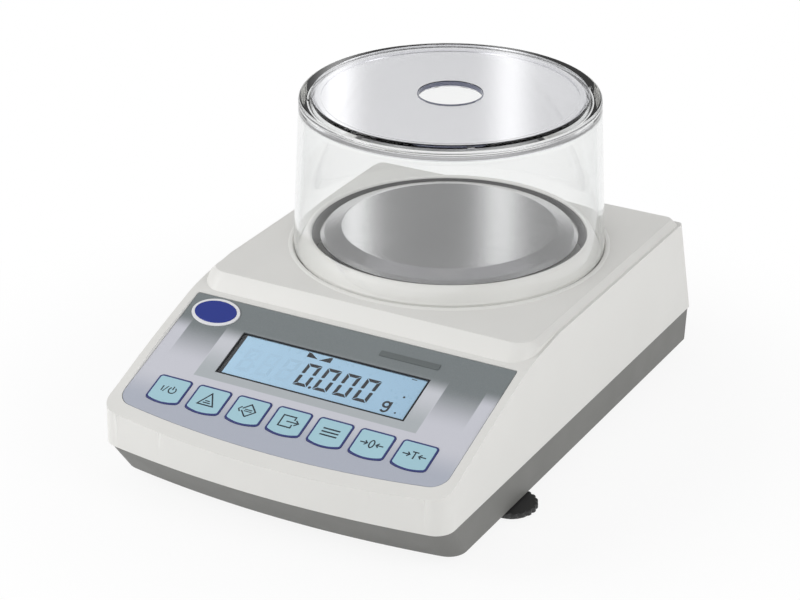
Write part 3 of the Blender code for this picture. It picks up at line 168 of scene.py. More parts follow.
# Draft shield
SHIELD_BOTTOM_Z = 0.0913
SHIELD_BOTTOM_RADIUS = 0.0910
SHIELD_WALL = 0.0030
SHIELD_TOP_Z = 0.1834
SHIELD_RIM_RADIUS = 0.0800
SHIELD_TOP_RADIUS = 0.0867
SHIELD_FOOT_ROUND = 0.0004
SHOULDER_RADIUS = 0.0018
SHOULDER_STEPS = 12
LEDGE_RADIUS = 0.0772
LEDGE_Z = 0.1805
LEDGE_THICKNESS = 0.0020
SHIELD_NECK = ((0.0812, 0.1765), (0.0826, 0.1740))
NECK_STEPS = 6
LUG_ANGLES = (35, 126, 215, 306)
LUG_RADIUS = 0.0812
LUG_LENGTH = 0.0044
LUG_WIDTH = 0.0013
LUG_HEIGHT = 0.0008
LUG_ROUND = 0.0003

# Lid of the shield
LID_TOP_Z = 0.1846
LID_THICKNESS = 0.0038
LID_RADIUS = 0.0797
LID_CHAMFER = 0.0007
LID_HOLE_RADIUS = 0.0184
LID_HOLE_ROUND = 0.0005
LID_PLUG_OUTER = 0.0769
LID_PLUG_INNER = 0.0740
LID_PLUG_DROP = 0.0017
LID_STEPS = 5
# Dark band inside the lid's hole: painted shade for its edge, which looks dark through the clear plastic
HOLE_BAND = 0.0005
HOLE_BAND_HEIGHT = 0.0025

# Weighing pan
PAN_TOP_Z = 0.1040
PAN_FLAT_RADIUS = 0.0628
PAN_SHOULDER_RADIUS = 0.0724
PAN_SHOULDER_Z = 0.1014
PAN_RADIUS = 0.0750
PAN_EDGE_Z = 0.0996
PAN_SHEET = 0.0012
PAN_EDGE_DEPTH = 0.0008
PAN_KNEE = 0.0030
PAN_ROLL = 0.0007
PAN_STEPS = 8

# Control panel, in the plane of the panel: x, v up the slope from y = 0, n outward
FOIL_CENTRE = 0.0001
FOIL_HALF_WIDTH = 0.1014
FOIL_TOP = -0.0665
FOIL_BOTTOM = -0.1640
FOIL_BOW = 0.0083
FOIL_CORNER = 0.010
FOIL_TOP_CORNER = 0.001
FOIL_THICKNESS = 0.0010
FLARE_LOW = 0.0001
FLARE_HIGH = 0.0011
FLARE_WIDTH = 0.0007
CIRCUIT_HALF_WIDTH = 0.0895
CIRCUIT_TOP_V = -0.1280
CIRCUIT_BOTTOM_V = -0.1530
CIRCUIT_HIGH = -0.0017
CIRCUIT_THICKNESS = 0.0010

# Keys
KEY_NAMES = ("key_power", "key_percent", "key_mode", "key_print", "key_menu", "key_zero", "key_tare")
KEY_COUNT = 7
KEY_PITCH = 0.02558
KEY_HALF_WIDTH = 0.0108
KEY_TOP = -0.1305
KEY_BOTTOM = -0.1505
KEY_BOW = 0.0020
KEY_CORNER = 0.0025
KEY_RAISE = 0.0003
KEY_THICKNESS = 0.0012
KEY_BOW_STEPS = 16
KEY_CORNER_STEPS = 10
KEY_GAP = 0.00015
KEY_EDGE = 0.00015
KEY_RIM = 0.0011
FACE_SINK = 0.0001
FACE_RISE = 0.0001
INK = 0.00003

# Icons, in millimetres but for the height of their middle
ICON_V = -0.1400
ARROW_HALF = 1.5
ARROW_STROKE = 0.75
ARROW_TUCK = 0.9
CIRCLE_STEPS = 28
ZERO_POINTS = 32
ZERO_HALF_WIDTH = 1.35
ZERO_HALF_HEIGHT = 2.6

# Display
SCREEN_CENTRE_X = 0.0001
SCREEN_CENTRE_V = -0.10325
SCREEN_HALF_WIDTH = 0.0594
SCREEN_HALF_HEIGHT = 0.01625
FRAME_WALL = 0.0007
FRAME_HIGH = -0.0002
FRAME_LOW = -0.0078
WINDOW_HIGH = -0.0004
PANE_THICKNESS = 0.0003
LCD_LOW = -0.0042
FIELD_N = -0.0009
FIELD_LEFT = -0.0559
FIELD_RIGHT = 0.05795
FIELD_TOP = -0.08835
FIELD_BOTTOM = -0.11805
FIELD_SHIFT_X = -0.00055
FIELD_SHIFT_V = 0.00075

# Figures and marks of the display, in millimetres
FIGURES_X = (-12.6, -0.2, 12.2, 24.6)
GHOSTS_X = (-50.2, -37.7, -25.2)
FIGURE_V = -114.2
FIGURE_WIDTH = 8.9
FIGURE_HEIGHT = 17.2
FIGURE_STROKE = 2.1
FIGURE_LEAN = 0.075
# Gap, shoulder, tip and inset of a segment in shares of its stroke
SEGMENT_GAP = 0.14
SEGMENT_SHOULDER = 0.45
SEGMENT_TIP = 0.65
SEGMENT_INSET = 1.1
# Decimal point, mark of a steady reading, bar and dots in the right corners, and the unit's letter
POINT = (-1.9, -113.6, 0.95)
STABLE_MARK = (((-15.2, -89.6), (-13.6, -89.6), (-8.2, -93.0), (-15.2, -93.0)),
               ((0.0, -89.6), (0.0, -93.4), (-7.2, -93.4), (-1.4, -89.6)))
CORNER_BAR = ((49.4, -90.3), (52.6, -90.3), (52.6, -89.8), (49.4, -89.8))
CORNER_DOTS = ((51.6, -103.6, 0.7), (52.2, -115.6, 0.6))
UNIT_STROKE = 1.3
UNIT_BOWL = (45.0, -111.4, 1.9)
UNIT_STEM = ((47.2, -108.9), (47.2, -114.8))
UNIT_HOOK = (45.2, -114.6)
UNIT_HOOK_RADIUS = 1.95
UNIT_HOOK_TURN = math.radians(150)
UNIT_HOOK_STEPS = 12

# Badge and capacity strip, both bare
BADGE_X = -0.0828
BADGE_V = -0.0783
BADGE_HALF_WIDTH = 0.0151
BADGE_HALF_HEIGHT = 0.0104
BADGE_THICKNESS = 0.0007
BADGE_BORDER = 0.0019
BADGE_DOME = 0.0003
BADGE_STEPS = 96
STRIP_LEFT = 0.023
STRIP_RIGHT = 0.060
STRIP_TOP_V = -0.0755
STRIP_BOTTOM_V = -0.0795
STRIP_THICKNESS = 0.0003
STRIP_CORNER = 0.0006

# Base tray
TRAY_BOTTOM_Z = 0.005
TRAY_TOP_Z = 0.0270
TRAY_BOTTOM_HALF_WIDTH = 0.1062
TRAY_TOP_HALF_WIDTH = 0.1070
TRAY_BOTTOM_FRONT = -0.1460
TRAY_TOP_FRONT = -0.1625
TRAY_BOTTOM_REAR = 0.1620
TRAY_TOP_REAR = 0.1628
TRAY_FLOOR = 0.0025
TRAY_EDGE = 0.0012

# Housing screws and what they hold
SCREW_X = 0.096
SCREW_FRONT_Y = -0.120
SCREW_REAR_Y = 0.125
SCREW_HEAD_RADIUS = 0.0030
SCREW_HEAD_HEIGHT = 0.0025
SCREW_SHANK_RADIUS = 0.0013
BOSS_RADIUS = 0.0048
BOSS_TOP_Z = 0.0210
POST_WALL_RADIUS = 0.0040
PILLAR_DEPTH = 0.0110
PILLAR_FRONT_TOP_Z = 0.0575
PILLAR_REAR_TOP_Z = 0.0870

# Front feet
FOOT_X = 0.1018
FOOT_Y = -0.0673
KNOB_RADIUS = 0.0149
KNOB_GRIP_DEPTH = 0.0008
KNOB_GRIP_SHARE = 1.4
KNOB_GRIPS = 20
KNOB_POINTS = 320
KNOB_LOW = 0.0015
KNOB_HIGH = 0.0047
KNOB_ROUND = 0.0007
STEM_RADIUS = 0.0027
STEM_TOP_Z = 0.0190
INSERT_RADIUS = 0.0035
FOOT_BOSS_INNER_X = 0.0930
FOOT_BOSS_OUTER_X = 0.1050
FOOT_BOSS_HALF_DEPTH = 0.008
FOOT_BOSS_TOP_Z = 0.0195

# Rear bay
BAY_LEFT = -0.052
BAY_RIGHT = 0.046
BAY_LOW = 0.034
BAY_HIGH = 0.066
BAY_INNER_Y = 0.125

# Frames that shapes are drawn in: the world's, the panel's, and (y, z) extruded along x
HERE = Matrix.Identity(4)
PANEL = Matrix.Translation((0, 0, PANEL_BASE_Z)) @ Matrix.Rotation(PANEL_ANGLE, 4, "X")
SIDEWAYS = Matrix(((0, 0, 1, 0), (1, 0, 0, 0), (0, 1, 0, 0), (0, 0, 0, 1)))


def as_mesh(body, name):
    """A mesh made from a bmesh, which goes."""
    mesh = bpy.data.meshes.new(name)
    body.to_mesh(mesh)
    body.free()
    return mesh


def settled(holder):
    """The evaluated mesh of a helper object, in world space and welded; the helper goes."""
    bpy.context.view_layer.update()
    graph = bpy.context.evaluated_depsgraph_get()
    mesh = bpy.data.meshes.new_from_object(holder.evaluated_get(graph))
    mesh.transform(holder.matrix_world)
    bpy.data.objects.remove(holder)
    body = bmesh.new()
    body.from_mesh(mesh)
    bmesh.ops.remove_doubles(body, verts=body.verts, dist=WELD)
    bmesh.ops.dissolve_degenerate(body, edges=body.edges, dist=WELD)
    bmesh.ops.recalc_face_normals(body, faces=body.faces)
    body.to_mesh(mesh)
    body.free()
    return mesh


def on_bench(data):
    """A helper object for one shape."""
    holder = bpy.data.objects.new("helper", data)
    holder.hide_render = True
    holder.display_type = "WIRE"
    bpy.context.scene.collection.objects.link(holder)
    return holder


def prism(outlines, low, high, frame=HERE):
    """A solid between two heights over outlines drawn in (x, y); the outlines after the first are holes."""
    curve = bpy.data.curves.new("outline", "CURVE")
    curve.dimensions = "2D"
    curve.fill_mode = "BOTH"
    curve.render_resolution_u = 0
    curve.extrude = (high - low) * HALF
    for outline in outlines:
        spline = curve.splines.new("POLY")
        spline.points.add(len(outline) - 1)
        for point, (x, y) in zip(spline.points, outline):
            point.co = (x, y, 0, 1)
        spline.use_cyclic_u = True
    mesh = settled(on_bench(curve))
    mesh.transform(frame @ Matrix.Translation((0, 0, (low + high) * HALF)))
    return mesh


def box(low, high):
    """A block between two corners."""
    body = bmesh.new()
    bmesh.ops.create_cube(body, size=1)
    mesh = as_mesh(body, "block")
    size = [b - a for a, b in zip(low, high)]
    middle = [(a + b) * HALF for a, b in zip(low, high)]
    mesh.transform(Matrix.Translation(middle) @ Matrix.Diagonal((*size, 1)))
    return mesh


def turned(profile, centre, steps=TURN_STEPS, ring=False):
    """A turned body from a profile of (radius, z), down the outer side; a ring has a closed profile."""
    mesh = bpy.data.meshes.new("profile")
    count = len(profile)
    edges = [(i, i + 1) for i in range(count - 1)]
    if ring:
        edges.append((count - 1, 0))
    mesh.from_pydata([(r, 0, z) for r, z in profile], edges, [])
    holder = on_bench(mesh)
    screw = holder.modifiers.new("turn", "SCREW")
    screw.axis = "Z"
    screw.steps = steps
    screw.render_steps = steps
    screw.use_merge_vertices = True
    screw.merge_threshold = WELD
    solid = settled(holder)
    solid.transform(Matrix.Translation((*centre, 0)))
    return solid


def disc(radius, low, high, centre, steps=SMALL_STEPS):
    """A plain round bar."""
    return turned([(0, high), (radius, high), (radius, low), (0, low)], centre, steps)


def combined(mesh, other, operation):
    """Two meshes brought together by a Boolean."""
    first = on_bench(mesh)
    second = on_bench(other)
    boolean = first.modifiers.new("combine", "BOOLEAN")
    boolean.operation = operation
    boolean.solver = "EXACT"
    boolean.object = second
    result = settled(first)
    bpy.data.objects.remove(second)
    return result


def cut(mesh, *others):
    """The mesh less the others."""
    for other in others:
        mesh = combined(mesh, other, "DIFFERENCE")
    return mesh


def joined(mesh, *others):
    """The mesh with the others."""
    for other in others:
        mesh = combined(mesh, other, "UNION")
    return mesh


def mirrored(half):
    """A whole outline from its right half, which starts on the middle line at the front."""
    left = [(-x, y) for x, y in reversed(half) if x > WELD]
    return half + left


def arc(centre, radius, start, end, steps):
    """Points along an arc, both ends included."""
    turns = [start + (end - start) * i / steps for i in range(steps + 1)]
    return [(centre[0] + radius * math.cos(a), centre[1] + radius * math.sin(a)) for a in turns]


def bowed(half_width, front, rear, bow, front_corner, rear_corner, steps=BOW_STEPS,
          corner_steps=CORNER_STEPS):
    """An outline with a bowed front side and four rounded corners."""
    radius = (half_width**2 + bow**2) / (2 * bow)
    middle = front + radius
    corner_x = half_width - front_corner
    corner_y = middle - math.sqrt((radius - front_corner) ** 2 - corner_x**2)
    turn = math.atan2(corner_y - middle, corner_x)
    half = arc((0, middle), radius, -math.pi * HALF, turn, steps // 2)
    half += arc((corner_x, corner_y), front_corner, turn, 0, corner_steps)[1:]
    half += arc((half_width - rear_corner, rear - rear_corner), rear_corner, 0, math.pi * HALF, corner_steps)
    half[0] = (0, front)
    return mirrored(half)


def rounded(half_width, front, rear, front_corner, rear_corner):
    """A rectangular outline with rounded corners."""
    quarter = math.pi * HALF
    half = arc((half_width - front_corner, front + front_corner), front_corner, -quarter, 0, CORNER_STEPS)
    half += arc((half_width - rear_corner, rear - rear_corner), rear_corner, 0, quarter, CORNER_STEPS)
    return mirrored(half)


def shifted(outline, x):
    """An outline moved sideways."""
    return [(px + x, y) for px, y in outline]


def rectangle(left, right, front, rear):
    """A plain rectangular outline."""
    return [(left, front), (right, front), (right, rear), (left, rear)]


def loft(sections):
    """A body through level sections, each an (outline, z) with the same number of points."""
    body = bmesh.new()
    rings = [[body.verts.new((x, y, z)) for x, y in outline] for outline, z in sections]
    for below, above in zip(rings, rings[1:]):
        for i in range(len(below)):
            j = (i + 1) % len(below)
            body.faces.new((below[i], below[j], above[j], above[i]))
    body.faces.new(list(reversed(rings[0])))
    body.faces.new(rings[-1])
    bmesh.ops.recalc_face_normals(body, faces=body.faces)
    return as_mesh(body, "loft")


def bevelled(mesh, width, share_of):
    """Edges rounded by a share of the width that depends on the place of each edge."""
    body = bmesh.new()
    body.from_mesh(mesh)
    weights = body.edges.layers.float.new("bevel_weight_edge")
    for edge in body.edges:
        if len(edge.link_faces) == 2 and edge.is_convex and edge.calc_face_angle() > SMOOTH_ANGLE:
            middle = (edge.verts[0].co + edge.verts[1].co) * HALF
            edge[weights] = share_of(middle)
    body.to_mesh(mesh)
    body.free()
    holder = on_bench(mesh)
    bevel = holder.modifiers.new("round", "BEVEL")
    bevel.limit_method = "WEIGHT"
    bevel.width = width
    bevel.segments = BEVEL_STEPS
    return settled(holder)


def rear_wall(z):
    """How far back the outer face of the rear wall is at a height."""
    share = (z - SEAM_Z) / (MARGIN_Z - SEAM_Z)
    return BODY_HALF_DEPTH + (MARGIN_REAR - BODY_HALF_DEPTH) * share


def panel_line(y, depth):
    """The height of the panel plane, or of one under it by a depth, at a distance y."""
    return PANEL_BASE_Z + PANEL_RISE * y - depth / math.cos(PANEL_ANGLE)


def foil_outline(gap):
    """The keypad foil seen square on, made larger by a gap."""
    outline = bowed(FOIL_HALF_WIDTH + gap, FOIL_BOTTOM - gap, FOIL_TOP + gap, FOIL_BOW,
                    FOIL_CORNER + gap, FOIL_TOP_CORNER + gap)
    return shifted(outline, FOIL_CENTRE)


def circuit_outline(gap):
    """The circuit under the keys, made larger by a gap."""
    half = CIRCUIT_HALF_WIDTH + gap
    return rectangle(-half, half, CIRCUIT_BOTTOM_V - gap, CIRCUIT_TOP_V + gap)


def screen_outline(inset):
    """The opening for the display, made smaller by an inset."""
    return rectangle(SCREEN_CENTRE_X - SCREEN_HALF_WIDTH + inset,
                     SCREEN_CENTRE_X + SCREEN_HALF_WIDTH - inset,
                     SCREEN_CENTRE_V - SCREEN_HALF_HEIGHT + inset,
                     SCREEN_CENTRE_V + SCREEN_HALF_HEIGHT - inset)


def key_outline(index, gap):
    """One key seen square on, made larger by a gap."""
    outline = bowed(KEY_HALF_WIDTH + gap, KEY_BOTTOM - gap, KEY_TOP + gap, KEY_BOW, KEY_CORNER + gap,
                    KEY_CORNER + gap, KEY_BOW_STEPS, KEY_CORNER_STEPS)
    return shifted(outline, key_x(index))


def key_x(index):
    """The middle of a key, counted from the left."""
    return (index - (KEY_COUNT - 1) * HALF) * KEY_PITCH


def bay_profile(inset, behind):
    """The rear bay from the side as (y, z), made smaller by an inset and carried past the rear wall."""
    low = BAY_LOW + inset
    high = BAY_HIGH - inset
    return [(BAY_INNER_Y + inset, low), (rear_wall(low) + behind, low), (rear_wall(high) + behind, high),
            (BAY_INNER_Y + inset, high)]


def smooth_line(points, steps):
    """A smooth curve through points whose first coordinate runs one way."""
    last = len(points) - 1
    slopes = []
    for i in range(last + 1):
        before, after = points[max(i - 1, 0)], points[min(i + 1, last)]
        slopes.append((after[1] - before[1]) / (after[0] - before[0]))
    line = []
    for (x0, y0), (x1, y1), m0, m1 in zip(points, points[1:], slopes, slopes[1:]):
        width = x1 - x0
        for k in range(steps):
            t = k / steps
            a, b = (1 + 2 * t) * (1 - t) ** 2, t * (1 - t) ** 2
            c, d = t * t * (3 - 2 * t), t * t * (t - 1)
            line.append((x0 + width * t, a * y0 + b * width * m0 + c * y1 + d * width * m1))
    return [*line, points[-1]]


def merged(*meshes):
    """Several separate bodies as one mesh."""
    body = bmesh.new()
    for mesh in meshes:
        body.from_mesh(mesh)
    return as_mesh(body, "merged")


def moved(mesh, matrix):
    """The mesh, moved."""
    mesh.transform(matrix)
    return mesh


def slab(outline_at, low, high, edge, frame=HERE):
    """A plate whose upper edge is rounded; outline_at gives its outline for an inset."""
    sections = [(outline_at(0), low)]
    for i in range(EDGE_STEPS + 1):
        turn = math.pi * HALF * i / EDGE_STEPS
        sections.append((outline_at(edge * (1 - math.cos(turn))), high - edge * (1 - math.sin(turn))))
    return moved(loft(sections), frame)


def band(points, width, closed=False):
    """The outlines of a line of even width through points; a closed line has two."""
    count = len(points)
    left, right = [], []
    for i, here in enumerate(points):
        directions = []
        if closed or i:
            directions.append(Vector(here) - Vector(points[i - 1]))
        if closed or i < count - 1:
            directions.append(Vector(points[(i + 1) % count]) - Vector(here))
        directions = [d.normalized() for d in directions]
        along = sum(directions, Vector((0, 0))).normalized()
        reach = width * HALF / along.dot(directions[0])
        left.append((here[0] - along.y * reach, here[1] + along.x * reach))
        right.append((here[0] + along.y * reach, here[1] - along.x * reach))
    return [left, right] if closed else [left + right[::-1]]


def finished(mesh):
    """Smooth shading with the sharp edges kept."""
    body = bmesh.new()
    body.from_mesh(mesh)
    for edge in body.edges:
        edge.smooth = len(edge.link_faces) == 2 and edge.calc_face_angle() < SMOOTH_ANGLE
    for face in body.faces:
        face.smooth = True
    body.to_mesh(mesh)
    body.free()


def dress(name, mesh, looks, body, slot, *nodes):
    """A piece of the dressed model, riding on a body and standing for the given nodes."""
    looks = looks if isinstance(looks, list) else [looks]
    mesh.name = name
    if len(looks) == 1:
        for face in mesh.polygons:
            face.material_index = 0
    mesh.materials.clear()
    for look in looks:
        mesh.materials.append(look)
    finished(mesh)
    piece = bpy.data.objects.new(name, mesh)
    bpy.context.scene.collection.objects.link(piece)
    weighted = piece.modifiers.new("normals", "WEIGHTED_NORMAL")
    weighted.keep_sharp = True
    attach(piece, body)
    if nodes:
        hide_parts(*nodes)
    return piece


# Materials

class Graph:
    """A node tree and the few things that are done with every tree."""

    def __init__(self, tree):
        self.tree = tree

    def node(self, kind, **settings):
        made = self.tree.nodes.new(kind)
        for key, value in settings.items():
            setattr(made, key, value)
        return made

    def link(self, source, target):
        if isinstance(source, (int, float, tuple, list)):
            target.default_value = source
        else:
            self.tree.links.new(source, target)

    def fed(self, kind, *sources, **settings):
        """The first output of a new node whose inputs are fed in their order."""
        made = self.node(kind, **settings)
        for source, target in zip(sources, made.inputs):
            self.link(source, target)
        return made.outputs[0]

    def math(self, operation, *terms, clamp=False):
        return self.fed("ShaderNodeMath", *terms, operation=operation, use_clamp=clamp)

    def parts(self, vector):
        """x, y and z of a vector."""
        made = self.node("ShaderNodeSeparateXYZ")
        self.link(vector, made.inputs[0])
        return made.outputs

    def blend(self, share, a, b):
        """Two shaders blended."""
        return self.fed("ShaderNodeMixShader", share, a, b)


class Look(Graph):
    """A procedural material and the few node chains that the materials share."""

    def __init__(self, name, colour, roughness, metallic=0.0):
        self.material = bpy.data.materials.new(name)
        self.material.use_nodes = True
        super().__init__(self.material.node_tree)
        self.shader = self.tree.nodes["Principled BSDF"]
        self.shader.inputs["Base Color"].default_value = (*colour, 1)
        self.shader.inputs["Roughness"].default_value = roughness
        self.shader.inputs["Metallic"].default_value = metallic
        self.colour = colour
        self.roughness = roughness
        self.place = self.node("ShaderNodeTexCoord").outputs["Object"]

    def noise(self, scale, detail, stretch=None):
        made = self.node("ShaderNodeTexNoise")
        made.inputs["Scale"].default_value = scale
        made.inputs["Detail"].default_value = detail
        place = self.place
        if stretch:
            mapping = self.node("ShaderNodeMapping")
            mapping.inputs["Scale"].default_value = stretch
            self.link(self.place, mapping.inputs["Vector"])
            place = mapping.outputs["Vector"]
        self.link(place, made.inputs["Vector"])
        return made.outputs["Fac"]

    def mapped(self, value, source, target=(0.0, 1.0), smooth=False):
        """A value brought from one range to another."""
        made = self.node("ShaderNodeMapRange", interpolation_type="SMOOTHSTEP" if smooth else "LINEAR")
        self.link(value, made.inputs["Value"])
        for name, number in zip(("From Min", "From Max", "To Min", "To Max"), (*source, *target)):
            made.inputs[name].default_value = number
        return made.outputs["Result"]

    def mix(self, share, a, b):
        made = self.node("ShaderNodeMix", data_type="RGBA")
        self.link(share, made.inputs["Factor"])
        self.link((*a, 1) if isinstance(a, tuple) else a, made.inputs["A"])
        self.link((*b, 1) if isinstance(b, tuple) else b, made.inputs["B"])
        return made.outputs["Result"]

    def paint(self, colour):
        self.link(colour, self.shader.inputs["Base Color"])

    def surface(self, shader):
        self.link(shader, self.tree.nodes["Material Output"].inputs["Surface"])

    def mottle(self, share, scale):
        """Slight unevenness of colour."""
        darker = tuple(c * (1 - share) for c in self.colour)
        lighter = tuple(min(c * (1 + share), 1) for c in self.colour)
        self.paint(self.mix(self.mapped(self.noise(scale, MOTTLE_DETAIL), NOISE), darker, lighter))

    def relief(self, height, strength, depth):
        """Relief of the surface after a height."""
        bump = self.node("ShaderNodeBump")
        bump.inputs["Strength"].default_value = strength
        bump.inputs["Distance"].default_value = depth
        self.link(height, bump.inputs["Height"])
        self.link(bump.outputs["Normal"], self.shader.inputs["Normal"])

    def grain(self, scale, strength, depth, stretch=None):
        """Relief of a fine grain."""
        self.relief(self.noise(scale, FINE_DETAIL, stretch), strength, depth)

    def wear(self, spread, scale, stretch=None):
        """Unevenness of the gloss."""
        gloss = (max(self.roughness - spread, SMOOTHEST), min(self.roughness + spread, 1))
        uneven = self.mapped(self.noise(scale, WEAR_DETAIL, stretch), NOISE, gloss)
        self.link(uneven, self.shader.inputs["Roughness"])

    def panel_place(self):
        """x, v and n in the plane of the control panel."""
        mapping = self.node("ShaderNodeMapping", vector_type="POINT")
        mapping.inputs["Rotation"].default_value = (-PANEL_ANGLE, 0, 0)
        mapping.inputs["Location"].default_value = (
            0, -PANEL_BASE_Z * math.sin(PANEL_ANGLE), -PANEL_BASE_Z * math.cos(PANEL_ANGLE))
        self.link(self.place, mapping.inputs["Vector"])
        return self.parts(mapping.outputs["Vector"])


def linear(red, green, blue):
    """A colour named by its 8-bit sRGB values, as the shader needs it."""
    return tuple(((c / 255 + 0.055) / 1.055) ** 2.4 for c in (red, green, blue))


# Ranges that a value is brought to
RISING = (0.0, 1.0)
FALLING = (1.0, 0.0)

# Ranges of the noise that are spread over a whole tone, and its detail
NOISE = (0.3, 0.7)
NARROW_NOISE = (0.35, 0.65)
FINE_DETAIL = 2
WEAR_DETAIL = 3
MOTTLE_DETAIL = 4

# Surface of plastic and metal: mottling as share and scale, wear as spread and scale
SMOOTHEST = 0.02
GRAIN_DEPTH = 0.0001
PLASTIC_MOTTLE_SCALE = 30
PLASTIC_WEAR = (0.05, 60)
METAL_MOTTLE = (0.05, 40)

# Clear plastic: its refraction, and the facing share from which its edge colour comes in
CLEAR_INDEX = 1.49
CLEAR_EDGE = (0.35, 1.0)
CLEAR_MOTTLE_SCALE = 12
CLEAR_MOTTLE_SHARE = 0.997

# Print of the foil: tones, and the ranges of x or v over which one turns into the next
FOIL_LIGHT = linear(205, 206, 215)
FOIL_LOW = linear(176, 181, 194)
FOIL_SURROUND = linear(176, 182, 186)
FOIL_PALE = linear(205, 207, 214)
FOIL_DARK = linear(118, 125, 127)
FOIL_FLECK = (0.9, 0.9, 0.92)
FOIL_ROUGHNESS = 0.38
FOIL_WEAR = (0.05, 200)
FOIL_GRAIN = (2400, 0.05, 0.00005)
FLECK_SCALE = 2600
FLECK_SHARE = 0.05
LOW_EDGE = (-0.150, -0.128)
SURROUND_SIDE = (0.0695, 0.0700)
SURROUND_LOW = (-0.1255, -0.1250)
SURROUND_TONE = (-0.120, -0.097)
BAR_INNER_SIDE = (0.0700, 0.0704)
BAR_OUTER_SIDE = (0.0926, 0.0932)
BAR_FADE = (-0.118, -0.086)
TOP_BAND = (-0.0965, -0.0845)

# Field of the display: tones from left to right
LCD_LEFT = linear(182, 219, 245)
LCD_RIGHT = linear(165, 202, 229)
LCD_CLOUD = linear(170, 207, 234)
LCD_REACH = (-0.058, 0.058)
LCD_CLOUD_SCALE = 70
LCD_CLOUD_SHARE = 0.12
LCD_ROUGHNESS = 0.30
LCD_WEAR = (0.04, 300)

# Brushed steel: fine lines along x; noises as scale, detail and stretch; relief as strength and depth
PAN_STEEL = (0.60, 0.60, 0.61)
PAN_ROUGHNESS = 0.16
PAN_DARKER = (0.585, 0.585, 0.592)
PAN_LIGHTER = (0.62, 0.62, 0.627)
PAN_STREAK = (1400, 3, (0.03, 1, 1))
PAN_LINES = (5200, 2, (0.02, 1, 1))
PAN_GLOSS = (0.14, 0.19)
PAN_DRAWN_OUT = 0.8
PAN_RELIEF = (0.05, 0.00001)


def moulded(name, colour, roughness, share=0.02, grain=1800, relief=0.12):
    """Moulded plastic: slight mottling, a fine spark-eroded grain and uneven gloss."""
    look = Look(name, colour, roughness)
    look.mottle(share, PLASTIC_MOTTLE_SCALE)
    look.grain(grain, relief, GRAIN_DEPTH)
    look.wear(*PLASTIC_WEAR)
    return look.material


def metal(name, colour, roughness, stretch=(1, 1, 1), lines=900, relief=0.06, spread=0.08):
    """Metal with a drawn or cast texture."""
    look = Look(name, colour, roughness, 1.0)
    look.mottle(*METAL_MOTTLE)
    look.grain(lines, relief, GRAIN_DEPTH, stretch)
    look.wear(spread, lines, stretch)
    return look.material


def clear(name, colour, through_share, edge_colour):
    """Clear plastic: nearly colourless looked through squarely, deeper where it is seen edge on."""
    look = Look(name, colour, 0.0)
    look.shader.inputs["Transmission Weight"].default_value = 1.0
    look.shader.inputs["IOR"].default_value = CLEAR_INDEX
    facing = look.node("ShaderNodeLayerWeight")
    facing.inputs["Blend"].default_value = HALF
    cloud = look.mapped(look.noise(CLEAR_MOTTLE_SCALE, FINE_DETAIL), NOISE)
    tint = look.mix(cloud, tuple(c * CLEAR_MOTTLE_SHARE for c in colour), colour)
    look.paint(look.mix(look.mapped(facing.outputs["Facing"], CLEAR_EDGE, RISING, True), tint, edge_colour))
    path = look.node("ShaderNodeLightPath")
    through = look.node("ShaderNodeBsdfTransparent")
    through.inputs["Color"].default_value = (through_share, through_share, through_share, 1)
    passing = look.math("MAXIMUM", path.outputs["Is Shadow Ray"], path.outputs["Is Diffuse Ray"])
    look.surface(look.blend(passing, look.shader.outputs["BSDF"], through.outputs["BSDF"]))
    return look.material


def printed_foil():
    """The grey print of the keypad foil: dark above, light below, with darker bars beside the display."""
    look = Look("foil_print", FOIL_LIGHT, FOIL_ROUGHNESS)
    x, v, _ = look.panel_place()
    beside = look.math("ABSOLUTE", x)
    base = look.mix(look.mapped(v, LOW_EDGE, RISING, True), FOIL_LOW, FOIL_LIGHT)
    # The grey surround of the display
    inside = look.math("MULTIPLY", look.mapped(beside, SURROUND_SIDE, FALLING), look.mapped(v, SURROUND_LOW))
    side_tone = look.mix(look.mapped(v, SURROUND_TONE, RISING, True), FOIL_SURROUND, FOIL_PALE)
    base = look.mix(inside, base, side_tone)
    # The bars, dark above and fading down
    bar = look.math("MULTIPLY", look.mapped(beside, BAR_INNER_SIDE),
                    look.mapped(beside, BAR_OUTER_SIDE, FALLING))
    fade = look.mapped(v, BAR_FADE, RISING, True)
    base = look.mix(look.math("MULTIPLY", bar, fade), base, FOIL_DARK)
    # The dark band along the top
    base = look.mix(look.mapped(v, TOP_BAND, RISING, True), base, FOIL_DARK)
    fleck = look.mapped(look.noise(FLECK_SCALE, 1), NARROW_NOISE, (0.0, FLECK_SHARE))
    look.paint(look.mix(fleck, base, FOIL_FLECK))
    look.wear(*FOIL_WEAR)
    look.grain(*FOIL_GRAIN)
    return look.material


def lcd_glass():
    """The blue field of the display, a little lighter to the left."""
    look = Look("lcd_field", LCD_LEFT, LCD_ROUGHNESS)
    x, _, _ = look.panel_place()
    tone = look.mix(look.mapped(x, LCD_REACH), LCD_LEFT, LCD_RIGHT)
    cloud = look.mapped(look.noise(LCD_CLOUD_SCALE, FINE_DETAIL), NARROW_NOISE, (0, LCD_CLOUD_SHARE))
    look.paint(look.mix(cloud, tone, LCD_CLOUD))
    look.wear(*LCD_WEAR)
    return look.material


def brushed_pan():
    """Steel brushed across: fine lines, and gloss that is drawn out across the lines."""
    look = Look("steel_brushed", PAN_STEEL, PAN_ROUGHNESS, 1.0)
    streak = look.noise(*PAN_STREAK)
    fine = look.noise(*PAN_LINES)
    look.paint(look.mix(look.mapped(streak, NARROW_NOISE), PAN_DARKER, PAN_LIGHTER))
    look.link(look.mapped(fine, NOISE, PAN_GLOSS), look.shader.inputs["Roughness"])
    look.shader.inputs["Anisotropic"].default_value = PAN_DRAWN_OUT
    look.link(look.fed("ShaderNodeCombineXYZ", 0.0, 1.0), look.shader.inputs["Tangent"])
    look.relief(fine, *PAN_RELIEF)
    return look.material


